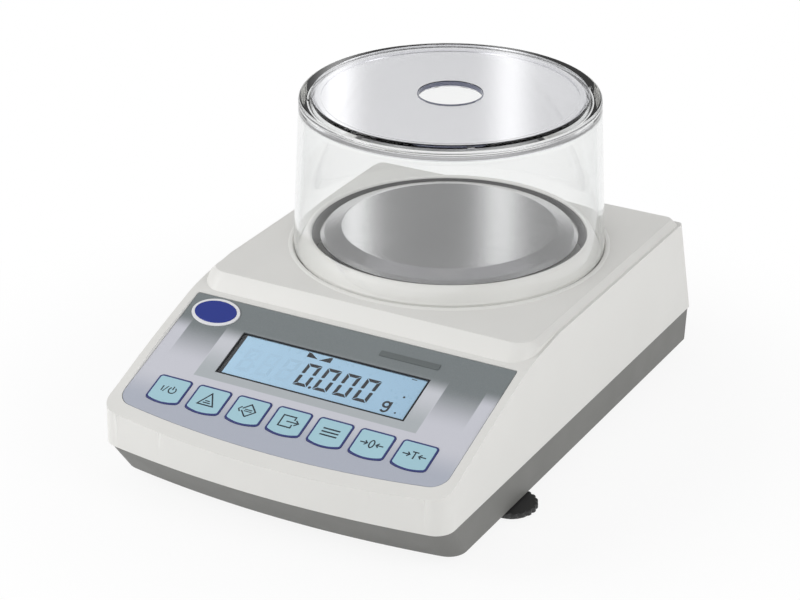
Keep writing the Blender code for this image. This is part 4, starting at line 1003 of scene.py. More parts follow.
SHELL = moulded("shell_plastic", (0.78, 0.775, 0.75), 0.42, 0.012)
TRAY = moulded("tray_plastic", (0.185, 0.185, 0.176), 0.55, 0.04)
BLACK = moulded("black_plastic", (0.025, 0.025, 0.026), 0.40)
RUBBER = moulded("rubber", (0.022, 0.022, 0.022), 0.75, 0.1, 900, 0.3)
FRAME_BLACK = moulded("frame_black", (0.012, 0.013, 0.016), 0.35)
NAVY = moulded("key_navy", linear(52, 60, 118), 0.38)
KEY_FACE = moulded("key_face", linear(168, 206, 218), 0.36, 0.02, 2400, 0.05)
ICON = moulded("icon_ink", linear(38, 46, 56), 0.45)
BADGE_RIM = moulded("badge_rim", (0.80, 0.80, 0.82), 0.30)
BADGE_BLUE = moulded("badge_blue", linear(34, 52, 140), 0.22)
STRIP = moulded("strip_grey", linear(100, 106, 107), 0.42)
LCD_INK = moulded("lcd_ink", linear(12, 16, 26), 0.40)
LCD_GHOST = moulded("lcd_ghost", linear(174, 210, 236), 0.30)
LCD_EDGE = moulded("lcd_edge", linear(24, 28, 34), 0.25)
STEEL = metal("steel_bright", (0.66, 0.66, 0.66), 0.28)
POLISHED = metal("steel_polished", (0.70, 0.70, 0.71), 0.10, lines=2000, relief=0.02, spread=0.04)
ALUMINIUM = metal("aluminium_milled", (0.72, 0.73, 0.74), 0.35, (1, 0.05, 1))
BRASS = metal("brass_turned", (0.72, 0.52, 0.22), 0.30, (1, 1, 6))
CLEAR = clear("clear_acrylic", (0.956, 0.961, 0.958), 0.997, (0.74, 0.76, 0.76))
LID_CLEAR = clear("clear_lid", (0.945, 0.942, 0.965), 0.996, (0.70, 0.71, 0.76))
PANE = clear("clear_window", (0.985, 0.988, 0.992), 0.996, (0.80, 0.82, 0.84))
# Dark bluish painted shade for the edge of the lid's hole
LID_HOLE_SHADE = moulded("lid_hole_painted_shade", (0.12, 0.13, 0.19), 0.2, 0.05, 400, 0.01)
# Dark grey painted shade for the well, which lies in shadow round the pan
WELL_SHADE = moulded("well_painted_shade", (0.085, 0.085, 0.085), 0.6, 0.05)
FOIL = printed_foil()
LCD = lcd_glass()
PAN_FLAT = brushed_pan()


# Outer pieces

def share_of_edge(middle):
    """How much of the widest bevel an outer edge of the housing has."""
    if middle.z < SEAM_Z + PAST * HALF:
        return 0
    if middle.y < LIP_REAR and middle.z < LIP_HIGHEST:
        return 1
    if middle.z > PLATFORM_Z - LABEL_GAP:
        return PLATFORM_EDGE * PLATFORM_BEVEL_SHARE / LIP_BEVEL
    on_side = abs(middle.x) > MARGIN_HALF_WIDTH - NEAR_FACE
    on_rear = middle.y > MARGIN_REAR - NEAR_FACE
    return EDGE_BEVEL_SHARE if on_side or on_rear else 0


def shell_body():
    """The solid of the upper housing: walls, crowned slope and platform, with its outer edges rounded."""
    half_depth = BODY_HALF_DEPTH
    seam = bowed(SEAM_HALF_WIDTH, -half_depth, half_depth, FRONT_BOW, BODY_CORNER, REAR_CORNER)
    margin = bowed(MARGIN_HALF_WIDTH, -half_depth, MARGIN_REAR, FRONT_BOW, BODY_CORNER, REAR_CORNER)
    shell = loft([(seam, SEAM_Z), (margin, MARGIN_Z)])
    above = [(SLOPE[0][0], SLOPE_CLEAR_Z), *smooth_line(SLOPE, SLOPE_STEPS), (SLOPE_CLEAR_Y, SLOPE[-1][1]),
             (SLOPE_CLEAR_Y, SLOPE_CLEAR_Z)]
    shell = cut(shell, prism([above], -REACH, REACH, SIDEWAYS))
    top = rounded(PLATFORM_HALF_WIDTH, PLATFORM_FRONT, PLATFORM_REAR, PLATFORM_CORNER, PLATFORM_REAR_CORNER)
    step = rounded(PLATFORM_HALF_WIDTH + STEP_WIDTH, PLATFORM_FRONT - STEP_WIDTH,
                   PLATFORM_REAR + STEP_WIDTH - LABEL_GAP, PLATFORM_CORNER + STEP_WIDTH,
                   PLATFORM_REAR_CORNER + STEP_WIDTH)
    skirt = rounded(SKIRT_HALF_WIDTH, SKIRT_FRONT, SKIRT_REAR, PLATFORM_CORNER + STEP_WIDTH,
                    PLATFORM_REAR_CORNER)
    shell = joined(shell, loft([(skirt, SKIRT_Z), (step, STEP_Z), (top, PLATFORM_Z)]))
    return bevelled(shell, LIP_BEVEL, share_of_edge)


def shell_void():
    """The space inside the upper housing."""
    front, rear, corner = WALL - BODY_HALF_DEPTH, BODY_HALF_DEPTH - WALL, BODY_CORNER - WALL
    inner_seam = bowed(SEAM_HALF_WIDTH - WALL, front, rear, FRONT_BOW, corner, corner)
    inner_top = bowed(MARGIN_HALF_WIDTH - WALL, front, CEILING_REAR, FRONT_BOW, corner, corner)
    void = loft([(inner_seam, SEAM_Z - PAST), (inner_seam, SEAM_Z), (inner_top, CEILING_Z)])
    crossing = (CEILING_Z + PAST - panel_line(0, PANEL_WALL)) / PANEL_RISE
    over = [(SLOPE_CLEAR_Y, panel_line(SLOPE_CLEAR_Y, PANEL_WALL)), (crossing, CEILING_Z + PAST),
            (SLOPE_CLEAR_Y, CEILING_Z + PAST)]
    void = cut(void, prism([over], -REACH, REACH, SIDEWAYS))
    return cut(void, disc(WELL_RADIUS + WALL, WELL_FLOOR_Z - WALL, SLOPE_CLEAR_Z, AXIS, TURN_STEPS))


def shell_piece():
    """The upper housing with its grooves, pockets and screw pillars."""
    shell = cut(shell_body(), shell_void())
    top_ring = PLATFORM_Z + LIP_RING_HEIGHT
    crest = [(radius + out * LIP_RING_HEIGHT, top_ring - down * LIP_RING_HEIGHT)
             for radius, shares in ((GROOVE_OUTER, CREST_INNER), (LIP_RING_OUTER, CREST_OUTER))
             for out, down in shares]
    crest += [(LIP_RING_OUTER, PLATFORM_Z), (LIP_RING_OUTER, GROOVE_FLOOR_Z), (GROOVE_OUTER, GROOVE_FLOOR_Z)]
    shell = joined(shell, turned(crest, AXIS, ring=True))
    groove = [(GROOVE_INNER, top_ring + PAST), (GROOVE_OUTER, top_ring + PAST),
              (GROOVE_OUTER, GROOVE_FLOOR_Z), (GROOVE_INNER, GROOVE_FLOOR_Z)]
    well = [(0, SLOPE_CLEAR_Z), (WELL_RADIUS, SLOPE_CLEAR_Z), (WELL_RADIUS, WELL_FLOOR_Z),
            (POST_HOLE_RADIUS, WELL_FLOOR_Z), (POST_HOLE_RADIUS, WELL_FLOOR_Z - WALL - PAST),
            (0, WELL_FLOOR_Z - WALL - PAST)]
    flare = [(SEAT_GAP, -FOIL_THICKNESS - SEAT_GAP), (SEAT_GAP, FLARE_LOW),
             (SEAT_GAP + FLARE_WIDTH, FLARE_HIGH), (SEAT_GAP + FLARE_WIDTH, PAST)]
    circuit_low = CIRCUIT_HIGH - CIRCUIT_THICKNESS - SEAT_GAP
    shell = cut(
        shell,
        merged(turned(groove, AXIS, ring=True), turned(well, AXIS)),
        moved(loft([(foil_outline(gap), n) for gap, n in flare]), PANEL),
        prism([circuit_outline(SEAT_GAP)], circuit_low, -FOIL_THICKNESS, PANEL),
        prism([screen_outline(0)], -PANEL_WALL - PAST, PAST, PANEL),
        prism([bay_profile(-SEAT_GAP, PAST)], BAY_LEFT - SEAT_GAP, BAY_RIGHT + SEAT_GAP, SIDEWAYS),
    )
    pillars = []
    low, bore = BOSS_TOP_Z + SEAT_GAP, SCREW_SHANK_RADIUS + SEAT_GAP
    for side in (-1, 1):
        for y, top_z in ((SCREW_FRONT_Y, PILLAR_FRONT_TOP_Z), (SCREW_REAR_Y, PILLAR_REAR_TOP_Z)):
            pillar = [(0, top_z), (POST_WALL_RADIUS, top_z), (POST_WALL_RADIUS, low), (bore, low),
                      (bore, low + PILLAR_DEPTH), (0, low + PILLAR_DEPTH)]
            pillars.append(turned(pillar, (side * SCREW_X, y), SMALL_STEPS))
    shell = joined(shell, merged(*pillars))
    dress("shell", shell, SHELL, "housing", "shell_white", "upper_housing")


def tray_piece():
    """The base tray with a rounded lower edge, its foot and screw bosses and their wells."""
    bottom = bowed(TRAY_BOTTOM_HALF_WIDTH, TRAY_BOTTOM_FRONT, TRAY_BOTTOM_REAR, FRONT_BOW, BODY_CORNER,
                   REAR_CORNER)
    top = bowed(TRAY_TOP_HALF_WIDTH, TRAY_TOP_FRONT, TRAY_TOP_REAR, FRONT_BOW, BODY_CORNER, REAR_CORNER)
    tray = loft([(bottom, TRAY_BOTTOM_Z), (top, TRAY_TOP_Z)])
    tray = bevelled(tray, TRAY_EDGE, lambda middle: middle.z < TRAY_BOTTOM_Z + LABEL_GAP)
    corner = BODY_CORNER - WALL
    inner_bottom = bowed(TRAY_BOTTOM_HALF_WIDTH - WALL, TRAY_BOTTOM_FRONT + WALL, TRAY_BOTTOM_REAR - WALL,
                         FRONT_BOW, corner, corner)
    inner_top = bowed(TRAY_TOP_HALF_WIDTH - WALL, TRAY_TOP_FRONT + WALL, TRAY_TOP_REAR - WALL, FRONT_BOW,
                      corner, corner)
    floor = TRAY_BOTTOM_Z + TRAY_FLOOR
    tray = cut(tray, loft([(inner_bottom, floor), (inner_top, TRAY_TOP_Z), (inner_top, TRAY_TOP_Z + PAST)]))
    sink = floor + SCREW_HEAD_HEIGHT * HALF
    below = TRAY_BOTTOM_Z - PAST
    wide, bore = SCREW_HEAD_RADIUS + SEAT_GAP, SCREW_SHANK_RADIUS + SEAT_GAP
    bosses, wells = [], []
    for side in (-1, 1):
        inner, outer = sorted((side * FOOT_BOSS_INNER_X, side * FOOT_BOSS_OUTER_X))
        bosses.append(box((inner, FOOT_Y - FOOT_BOSS_HALF_DEPTH, floor - WALL * HALF),
                          (outer, FOOT_Y + FOOT_BOSS_HALF_DEPTH, FOOT_BOSS_TOP_Z)))
        wells.append(disc(INSERT_RADIUS + SEAT_GAP, below, TRAY_TOP_Z, (side * FOOT_X, FOOT_Y)))
        for y in (SCREW_FRONT_Y, SCREW_REAR_Y):
            centre = (side * SCREW_X, y)
            bosses.append(disc(BOSS_RADIUS, floor - WALL * HALF, BOSS_TOP_Z, centre))
            well = [(0, TRAY_TOP_Z), (bore, TRAY_TOP_Z), (bore, sink), (wide, sink), (wide, below),
                    (0, below)]
            wells.append(turned(well, centre, SMALL_STEPS))
    tray = cut(joined(tray, merged(*bosses)), merged(*wells))
    dress("tray", tray, TRAY, "housing", "tray_grey", "lower_housing")


def key_pieces(index, name):
    """One key: its plate, its face and its icon."""
    body = f"{name}_cap"
    plate = slab(lambda inset: key_outline(index, -inset), KEY_RAISE - KEY_THICKNESS, KEY_RAISE, KEY_EDGE,
                 PANEL)
    dress(f"{name}_plate", plate, NAVY, body, "key_blue", name)
    top = KEY_RAISE + FACE_RISE
    face = slab(lambda inset: key_outline(index, -KEY_RIM - inset), KEY_RAISE - FACE_SINK, top, FACE_RISE,
                PANEL)
    dress(f"{name}_face", face, KEY_FACE, body, "key_blue")
    groups = [[[(key_x(index) + x * MM, ICON_V + v * MM) for x, v in line] for line in group]
              for group in ICONS[name]]
    icon = merged(*(prism(group, top - FACE_SINK, top + INK, PANEL) for group in groups))
    dress(f"{name}_icon", icon, ICON, body, "key_blue")


def oval(half_width, half_height):
    """The outline of the badge for an inset."""
    turns = [2 * math.pi * i / BADGE_STEPS for i in range(BADGE_STEPS)]
    return lambda inset: [(BADGE_X + (half_width - inset) * math.cos(a),
                           BADGE_V + (half_height - inset) * math.sin(a)) for a in turns]


def strip_outline(inset):
    """The bare strip seen square on, made smaller by an inset."""
    corner = STRIP_CORNER - inset
    outline = rounded((STRIP_RIGHT - STRIP_LEFT) * HALF - inset, STRIP_BOTTOM_V + inset, STRIP_TOP_V - inset,
                      corner, corner)
    return shifted(outline, (STRIP_LEFT + STRIP_RIGHT) * HALF)


def panel_pieces():
    """The foil, the keys, the badge and the bare strip."""
    holes = [key_outline(i, KEY_GAP) for i in range(KEY_COUNT)]
    foil = prism([foil_outline(0), screen_outline(0), *holes], -FOIL_THICKNESS, 0, PANEL)
    dress("foil", foil, FOIL, "housing", "foil_grey", "keypad_foil")
    for index, name in enumerate(KEY_NAMES):
        key_pieces(index, name)
    high = LABEL_GAP + BADGE_THICKNESS
    rim = slab(oval(BADGE_HALF_WIDTH, BADGE_HALF_HEIGHT), LABEL_GAP, high, BADGE_THICKNESS * HALF, PANEL)
    dress("badge_rim", rim, BADGE_RIM, "housing", "badge_blue", "badge_plate")
    face = slab(oval(BADGE_HALF_WIDTH - BADGE_BORDER, BADGE_HALF_HEIGHT - BADGE_BORDER), high - FACE_SINK,
                high + BADGE_DOME, BADGE_DOME, PANEL)
    dress("badge_face", face, BADGE_BLUE, "housing", "badge_blue")
    strip = slab(strip_outline, LABEL_GAP, LABEL_GAP + STRIP_THICKNESS, FACE_RISE, PANEL)
    dress("strip", strip, STRIP, "housing", "strip_grey", "capacity_plate")


def circle(x, y, radius, start=0.0, end=2 * math.pi):
    """Points round a circle or part of one."""
    whole = abs(end - start) >= 2 * math.pi
    line = arc((x, y), radius, start, end, CIRCLE_STEPS)
    return line[:-1] if whole else line


def arrow(x0, x1):
    """A straight arrow from x0 to x1, as groups of outlines."""
    way = 1 if x1 > x0 else -1
    shaft = band([(x0, 0), (x1 - way * ARROW_STROKE * ARROW_TUCK, 0)], ARROW_STROKE)
    tip = [(x1 - way * ARROW_HALF, ARROW_HALF), (x1, 0), (x1 - way * ARROW_HALF, -ARROW_HALF)]
    return [shaft, band(tip, ARROW_STROKE)]


def icons():
    """The icon of each key in millimetres from its middle, as groups of outlines."""
    power = [band([(-4.3, -1.9), (-4.3, 1.9)], 0.75), band([(-3.1, -2.2), (-1.3, 2.2)], 0.6),
             band(circle(2.2, -0.2, 2.2, math.radians(125), math.radians(415)), 0.75),
             band([(2.2, 0.1), (2.2, 2.8)], 0.75)]
    percent = [band([(-4.9, -4.0), (4.9, -4.0), (0, 4.8)], 0.85, True),
               band([(-2.3, -2.3), (2.3, -2.3)], 0.7), band([(-1.5, -0.9), (1.5, -0.9)], 0.7)]
    mode = [band([(0, -4.6), (4.6, 0), (0, 4.6), (-3.9, 0.7)], 0.85), band([(0, -4.6), (-3.9, -0.7)], 0.85),
            band([(-4.6, 1.9), (-6.0, 0), (-4.6, -1.9)], 0.75), band([(-2.4, 0.5), (2.4, 0.5)], 0.6),
            band([(-2.4, -0.7), (2.4, -0.7)], 0.6)]
    sheet = [band([(2.8, 1.6), (2.8, 3.9), (-4.8, 3.9), (-4.8, -3.9), (2.8, -3.9), (2.8, -1.6)], 0.85),
             band([(-1.4, 0), (5.2, 0)], 0.8), band([(3.9, 1.9), (6.0, 0), (3.9, -1.9)], 0.8)]
    menu = [band([(-5.2, v), (5.2, v)], 0.95) for v in (-2.3, 0, 2.3)]
    turns = [2 * math.pi * i / ZERO_POINTS for i in range(ZERO_POINTS)]
    ring = [(ZERO_HALF_WIDTH * math.cos(a), ZERO_HALF_HEIGHT * math.sin(a)) for a in turns]
    zero = [*arrow(-7.0, -2.7), *arrow(7.0, 2.7), band(ring, 0.8, True)]
    tare = [*arrow(-7.0, -2.7), *arrow(7.0, 2.7), band([(-1.9, 2.3), (1.9, 2.3)], 0.8),
            band([(0, 2.0), (0, -2.6)], 0.8)]
    return dict(zip(KEY_NAMES, (power, percent, mode, sheet, menu, zero, tare)))


ICONS = icons()


def scaled(outline):
    """An outline in millimetres brought to metres and to the depth of the display field."""
    return [(x * MM + FIELD_SHIFT_X, y * MM + FIELD_SHIFT_V) for x, y in outline]


def figure(left):
    """The seven segments of a leaning figure, in millimetres."""
    w, h, t, g = FIGURE_WIDTH, FIGURE_HEIGHT, FIGURE_STROKE, FIGURE_STROKE * SEGMENT_GAP
    middle = h * HALF
    above, below = middle + t * SEGMENT_SHOULDER, middle - t * SEGMENT_SHOULDER
    tip, inset = t * SEGMENT_TIP, t * SEGMENT_INSET
    parts = {
        "a": [(g, h), (w - g, h), (w - t - g, h - t), (t + g, h - t)],
        "d": [(g, 0), (t + g, t), (w - t - g, t), (w - g, 0)],
        "f": [(0, h - g), (t, h - t - g), (t, above), (t * HALF, middle + g * 2), (0, above)],
        "e": [(0, g), (0, below), (t * HALF, middle - g * 2), (t, below), (t, t + g)],
        "b": [(w, h - g), (w, above), (w - t * HALF, middle + g * 2), (w - t, above), (w - t, h - t - g)],
        "c": [(w, g), (w - t, t + g), (w - t, below), (w - t * HALF, middle - g * 2), (w, below)],
        "g": [(tip, middle), (inset, above), (w - inset, above), (w - tip, middle), (w - inset, below),
              (inset, below)],
    }
    return {key: [(left + x + FIGURE_LEAN * y, FIGURE_V + y) for x, y in line] for key, line in parts.items()}


def display_pieces():
    """The frame, the window, and the display with its figures."""
    inside = SEAT_GAP + FRAME_WALL
    bezel = prism([screen_outline(SEAT_GAP), screen_outline(inside)], FRAME_LOW, FRAME_HIGH, PANEL)
    dress("display_bezel", bezel, FRAME_BLACK, "housing", "plastic_black", "display_frame")
    pane = screen_outline(inside + SEAT_GAP)
    window = prism([pane], WINDOW_HIGH - PANE_THICKNESS, WINDOW_HIGH, PANEL)
    dress("display_pane", window, PANE, "housing", "clear_plastic", "display_window")
    glass = prism([pane], LCD_LOW, FIELD_N, PANEL)
    dress("lcd_glass", glass, LCD_EDGE, "housing", "lcd_blue", "lcd_panel")
    field = prism([rectangle(FIELD_LEFT, FIELD_RIGHT, FIELD_BOTTOM, FIELD_TOP)], FIELD_N - FACE_SINK,
                  FIELD_N + INK, PANEL)
    dress("lcd_field", field, LCD, "housing", "lcd_blue")
    low, high = FIELD_N, FIELD_N + INK * 2
    ink, ghost = [], []
    for x in FIGURES_X:
        for key, outline in figure(x).items():
            (ghost if key == "g" else ink).append(outline)
    for x in GHOSTS_X:
        ghost += figure(x).values()
    ink += [circle(*POINT), *STABLE_MARK, CORNER_BAR, *(circle(*dot) for dot in CORNER_DOTS)]
    bowl = band(circle(*UNIT_BOWL), UNIT_STROKE, True)
    hook = arc(UNIT_HOOK, UNIT_HOOK_RADIUS, 0, -UNIT_HOOK_TURN, UNIT_HOOK_STEPS)[1:]
    tail = band([*UNIT_STEM, *hook], UNIT_STROKE)
    groups = [[outline] for outline in ink] + [bowl, tail]
    meshes = [prism([scaled(outline) for outline in group], low, high, PANEL) for group in groups]
    dress("lcd_figures", merged(*meshes), LCD_INK, "housing", "lcd_blue")
    dim = [prism([scaled(outline)], low, high - INK * HALF, PANEL) for outline in ghost]
    dress("lcd_ghosts", merged(*dim), LCD_GHOST, "housing", "lcd_blue")


def pan_profile(bevel):
    """The pan from its middle over the rounded knee, shoulder and rim, and back underneath."""
    upright = math.pi * HALF
    skirt = math.atan((PAN_SHOULDER_Z - PAN_EDGE_Z) / (PAN_RADIUS - PAN_SHOULDER_RADIUS))
    knee = arc((PAN_FLAT_RADIUS - PAN_KNEE * math.tan(bevel * HALF), PAN_TOP_Z - PAN_KNEE), PAN_KNEE,
               upright, upright - bevel, PAN_STEPS)
    bend = PAN_KNEE * HALF
    turn = bend * math.tan((skirt - bevel) * HALF)
    shoulder = arc((PAN_SHOULDER_RADIUS - turn * math.cos(bevel) - bend * math.sin(bevel),
                    PAN_SHOULDER_Z + turn * math.sin(bevel) - bend * math.cos(bevel)), bend,
                   upright - bevel, upright - skirt, PAN_STEPS)
    roll = arc((PAN_RADIUS - PAN_ROLL, PAN_EDGE_Z - PAN_ROLL * HALF), PAN_ROLL, upright - skirt, -upright,
               PAN_STEPS)
    under = PAN_TOP_Z - PAN_SHEET
    return [(0, PAN_TOP_Z), (PAN_FLAT_RADIUS * HALF, PAN_TOP_Z), *knee, *shoulder, *roll,
            (PAN_RADIUS - PAN_ROLL - PAN_EDGE_DEPTH * HALF, PAN_EDGE_Z - PAN_ROLL),
            (PAN_SHOULDER_RADIUS - PAN_EDGE_DEPTH, PAN_SHOULDER_Z - PAN_EDGE_DEPTH),
            (PAN_FLAT_RADIUS - PAN_EDGE_DEPTH, under), (0, under)]


def pan_pieces():
    """The ring round the well, a dark tube of painted shade inside the well, and the brushed pan with its
    polished bevel.
    """
    ring = [(RING_INNER, RING_INNER_TOP_Z - RING_ROUND),
            (RING_INNER + RING_ROUND * RING_ROUND_SHARE, RING_INNER_TOP_Z),
            *((RING_INNER + r, z) for r, z in smooth_line(RING_HILL, HILL_STEPS)),
            (RING_OUTER, RING_BASE_Z + SEAT_GAP), (RING_OUTER, RING_BASE_Z), (RING_INNER, RING_BASE_Z)]
    dress("well_ring", turned(ring, AXIS, ring=True), SHELL, "housing", "shell_white", "pan_ring")
    # A thin dark tube just inside the well wall: painted shade, because the gap round the pan lies in shadow
    floor = WELL_FLOOR_Z + FACE_RISE
    shade_sleeve = [(WELL_RADIUS - WELL_SHADE_WALL, WELL_SHADE_TOP_Z), (WELL_RADIUS, WELL_SHADE_TOP_Z), (WELL_RADIUS, floor),
             (WELL_RADIUS - WELL_SHADE_WALL, floor)]
    dress("well_shade_sleeve", turned(shade_sleeve, AXIS, ring=True), WELL_SHADE, "housing", "plastic_black")
    bevel = math.atan((PAN_TOP_Z - PAN_SHOULDER_Z) / (PAN_SHOULDER_RADIUS - PAN_FLAT_RADIUS))
    pan = turned(pan_profile(bevel), AXIS)
    flat_reach = PAN_FLAT_RADIUS - PAN_KNEE * HALF * bevel
    for face in pan.polygons:
        spot = face.center
        flat = math.hypot(spot.x, spot.y - PAN_AXIS_Y) < flat_reach and spot.z > PAN_TOP_Z - LABEL_GAP
        face.material_index = 0 if flat else 1
    dress("pan_disc", pan, [PAN_FLAT, POLISHED], "pan", "steel", "weighing_pan")


def lug_outline(inset):
    """One lug of the shield's rim, drawn on the x axis, made smaller by an inset."""
    reach = LUG_LENGTH * HALF
    return rectangle(LUG_RADIUS - LUG_WIDTH * HALF + inset, LUG_RADIUS + LUG_WIDTH * HALF - inset,
                     -reach + inset, reach - inset)


def shield_pieces():
    """The clear tapered shield with its lugs, and the lid with a dark band of painted shade inside its hole.
    """
    quarter = math.pi * HALF
    shoulder = arc((SHIELD_TOP_RADIUS - SHOULDER_RADIUS, SHIELD_TOP_Z - SHOULDER_RADIUS), SHOULDER_RADIUS,
                   quarter, 0, SHOULDER_STEPS)
    neck_points = [*SHIELD_NECK[::-1], (LEDGE_RADIUS, LEDGE_Z - LEDGE_THICKNESS)]
    neck = smooth_line([(z, r) for r, z in neck_points], NECK_STEPS)
    foot = SHIELD_FOOT_ROUND
    wall = [(SHIELD_RIM_RADIUS, SHIELD_TOP_Z), *shoulder, (SHIELD_BOTTOM_RADIUS, SHIELD_BOTTOM_Z + foot),
            (SHIELD_BOTTOM_RADIUS - foot, SHIELD_BOTTOM_Z),
            (SHIELD_BOTTOM_RADIUS - SHIELD_WALL + foot, SHIELD_BOTTOM_Z),
            (SHIELD_BOTTOM_RADIUS - SHIELD_WALL, SHIELD_BOTTOM_Z + foot),
            *((r, z) for z, r in neck), (LEDGE_RADIUS, LEDGE_Z - foot), (LEDGE_RADIUS + foot, LEDGE_Z),
            (SHIELD_RIM_RADIUS, LEDGE_Z)]
    lugs = []
    for degrees in LUG_ANGLES:
        lug = slab(lug_outline, SHIELD_TOP_Z - LUG_HEIGHT * 2, SHIELD_TOP_Z + LUG_HEIGHT, LUG_ROUND)
        turn = Matrix.Rotation(math.radians(degrees), 4, "Z")
        lugs.append(moved(lug, Matrix.Translation((*AXIS, 0)) @ turn))
    shield = joined(turned(wall, AXIS, ring=True), merged(*lugs))
    dress("shield_wall", shield, CLEAR, "shield", "clear_plastic", "draft_shield")
    under = LID_TOP_Z - LID_THICKNESS
    hole = LID_HOLE_RADIUS + LID_HOLE_ROUND
    edge = arc((LID_RADIUS - LID_CHAMFER, LID_TOP_Z - LID_CHAMFER), LID_CHAMFER, quarter, 0, LID_STEPS)
    lip = arc((hole, LID_TOP_Z - LID_HOLE_ROUND), LID_HOLE_ROUND, math.pi, quarter, LID_STEPS)
    lid = [*lip, *edge, (LID_RADIUS, under), (LID_PLUG_OUTER, under), (LID_PLUG_OUTER, under - LID_PLUG_DROP),
           (LID_PLUG_INNER, under - LID_PLUG_DROP), (LID_PLUG_INNER, under), (hole, under),
           (LID_HOLE_RADIUS, under + LID_HOLE_ROUND)]
    dress("lid_disc", turned(lid, AXIS, ring=True), LID_CLEAR, "lid", "clear_plastic", "shield_lid")
    # A thin opaque band inside the hole: painted shade for the edge of the clear lid, which looks dark
    top = LID_TOP_Z - LID_HOLE_ROUND
    inner, outer = LID_HOLE_RADIUS + FACE_SINK, LID_HOLE_RADIUS + HOLE_BAND
    shade_ring = [(inner, top), (outer, top), (outer, top - HOLE_BAND_HEIGHT), (inner, top - HOLE_BAND_HEIGHT)]
    dress("lid_hole_shade_band", turned(shade_ring, AXIS, ring=True), LID_HOLE_SHADE, "lid", "clear_plastic")


def knob_outline(side, inset):
    """The wavy rim of a knob, made smaller by an inset."""
    points = []
    for i in range(KNOB_POINTS):
        angle = 2 * math.pi * i / KNOB_POINTS
        wave = (1 + math.cos(angle * KNOB_GRIPS)) * HALF
        radius = KNOB_RADIUS - KNOB_GRIP_DEPTH * KNOB_GRIP_SHARE * (1 - wave) ** 2 - inset
        points.append((side * FOOT_X + radius * math.cos(angle), FOOT_Y + radius * math.sin(angle)))
    return points


def foot_pieces():
    """The ribbed knobs of the front feet."""
    turns = [math.pi * HALF * i / EDGE_STEPS for i in range(EDGE_STEPS + 1)]
    for side, word in ((-1, "left"), (1, "right")):
        sections = [(knob_outline(side, KNOB_ROUND * (1 - math.sin(turn))),
                     KNOB_LOW + KNOB_ROUND * (1 - math.cos(turn))) for turn in turns]
        sections += [(knob_outline(side, KNOB_ROUND * (1 - math.cos(turn))),
                      KNOB_HIGH - KNOB_ROUND * (1 - math.sin(turn))) for turn in turns]
        stem = disc(STEM_RADIUS, KNOB_LOW + WALL * HALF, STEM_TOP_Z, (side * FOOT_X, FOOT_Y))
        knob = joined(loft(sections), stem)
        dress(f"knob_{word}", knob, BLACK, f"{word}_foot_knob", "plastic_black", f"foot_knob_{word}")


shell_piece()
tray_piece()
panel_pieces()
display_pieces()
pan_pieces()
shield_pieces()
foot_pieces()

# Inner pieces keep their CAD shape and get a finish
BOARD = moulded("board_green", (0.03, 0.20, 0.09), 0.45, 0.15, 1200, 0.1)
AMBER = moulded("circuit_amber", (0.55, 0.32, 0.08), 0.40, 0.1)
LABEL = moulded("label_silver", (0.60, 0.60, 0.61), 0.45, 0.03)
DIFFUSER = moulded("diffuser_white", (0.85, 0.86, 0.86), 0.5, 0.01)
VIAL = moulded("vial_green", (0.55, 0.78, 0.25), 0.08, 0.03, 400, 0.02)
FINISHES = (
    (AMBER, ("keypad_circuit", "strain_gauge_1", "strain_gauge_2")),
    (DIFFUSER, ("backlight",)),
    (BOARD, ("display_board", "main_board")),
    (LABEL, ("display_ribbon", "rating_plate")),
    (BLACK, ("processor_chip", "buzzer", "rear_bay", "power_jack", "level_body")),
    (STEEL, ("shield_can", "base_plate", "load_cell_screw_1", "load_cell_screw_2", "overload_stop",
             "serial_port", "housing_screw_1", "housing_screw_2", "housing_screw_3", "housing_screw_4")),
    (ALUMINIUM, ("load_cell", "load_cell_spacer", "pan_support", "pan_post")),
    (VIAL, ("level_vial",)),
    (RUBBER, ("rear_foot_left", "rear_foot_right", "foot_pad_left", "foot_pad_right", "pan_pad_1",
              "pan_pad_2", "pan_pad_3")),
    (BRASS, ("foot_insert_left", "foot_insert_right")),
)
for finish, names in FINISHES:
    for name in names:
        for slot in frame["nodes"][name].material_slots:
            slot.material = finish


# Studio

# Brightness of the surroundings by the z of a direction: for light, through the glass, and mirrored
SKY = ((-1, 0.80), (0.0, 0.95), (0.35, 0.76), (1.0, 0.24))
THROUGH = ((-1, 1.0), (0.3, 1.0), (1.0, 0.80))
MIRRORED = ((-1, 0.9), (0.20, 0.9), (0.34, 0.27), (0.62, 0.27), (0.76, 0.50), (1.0, 0.45))
WHITE = ((-1, 1.0), (1, 1.0))

# The floor glows towards the camera, fully from FLOOR_FAR outwards
FLOOR_TONE = (0.92, 0.92, 0.92)
FLOOR_ROUGHNESS = 0.9
FLOOR_MOTTLE = (0.004, 3)
FLOOR_NEAR = 0.16
FLOOR_FAR = 0.34
FLOOR_LIFT = 0.88
FLOOR_HALF = 3.0
FLOOR_CELLS = 8

# Soft lamps: name, place and energy
LAMPS = (("box_left", (-1.1, -0.8, 0.9), 10), ("box_right", (1.3, -0.3, 0.9), 6))
LAMP_AIM = (0, 0, 0.05)
LAMP_SIZE = (0.7, 0.9)

# Soft box behind the pan; place, width and strength of each band across it
BOX_DIRECTION = (-0.438, 0.788, 0.433)
BOX_DISTANCE = 0.55
BOX_HALF_WIDTH = 0.20
BOX_HALF_HEIGHT = 0.22
BOX_FADE = 0.08
BOX_BANDS = ((-0.077, 0.0155, 1.5), (0.056, 0.0155, 1.25))

# The view of the photograph
CAMERA_SENSOR = 36
CAMERA_LENS = 116.34
CAMERA_NEAREST = 0.01
CAMERA_PLACE = (0.64469, -1.16894, 0.71534)
CAMERA_TURN = (64.35, 0, 29.07)


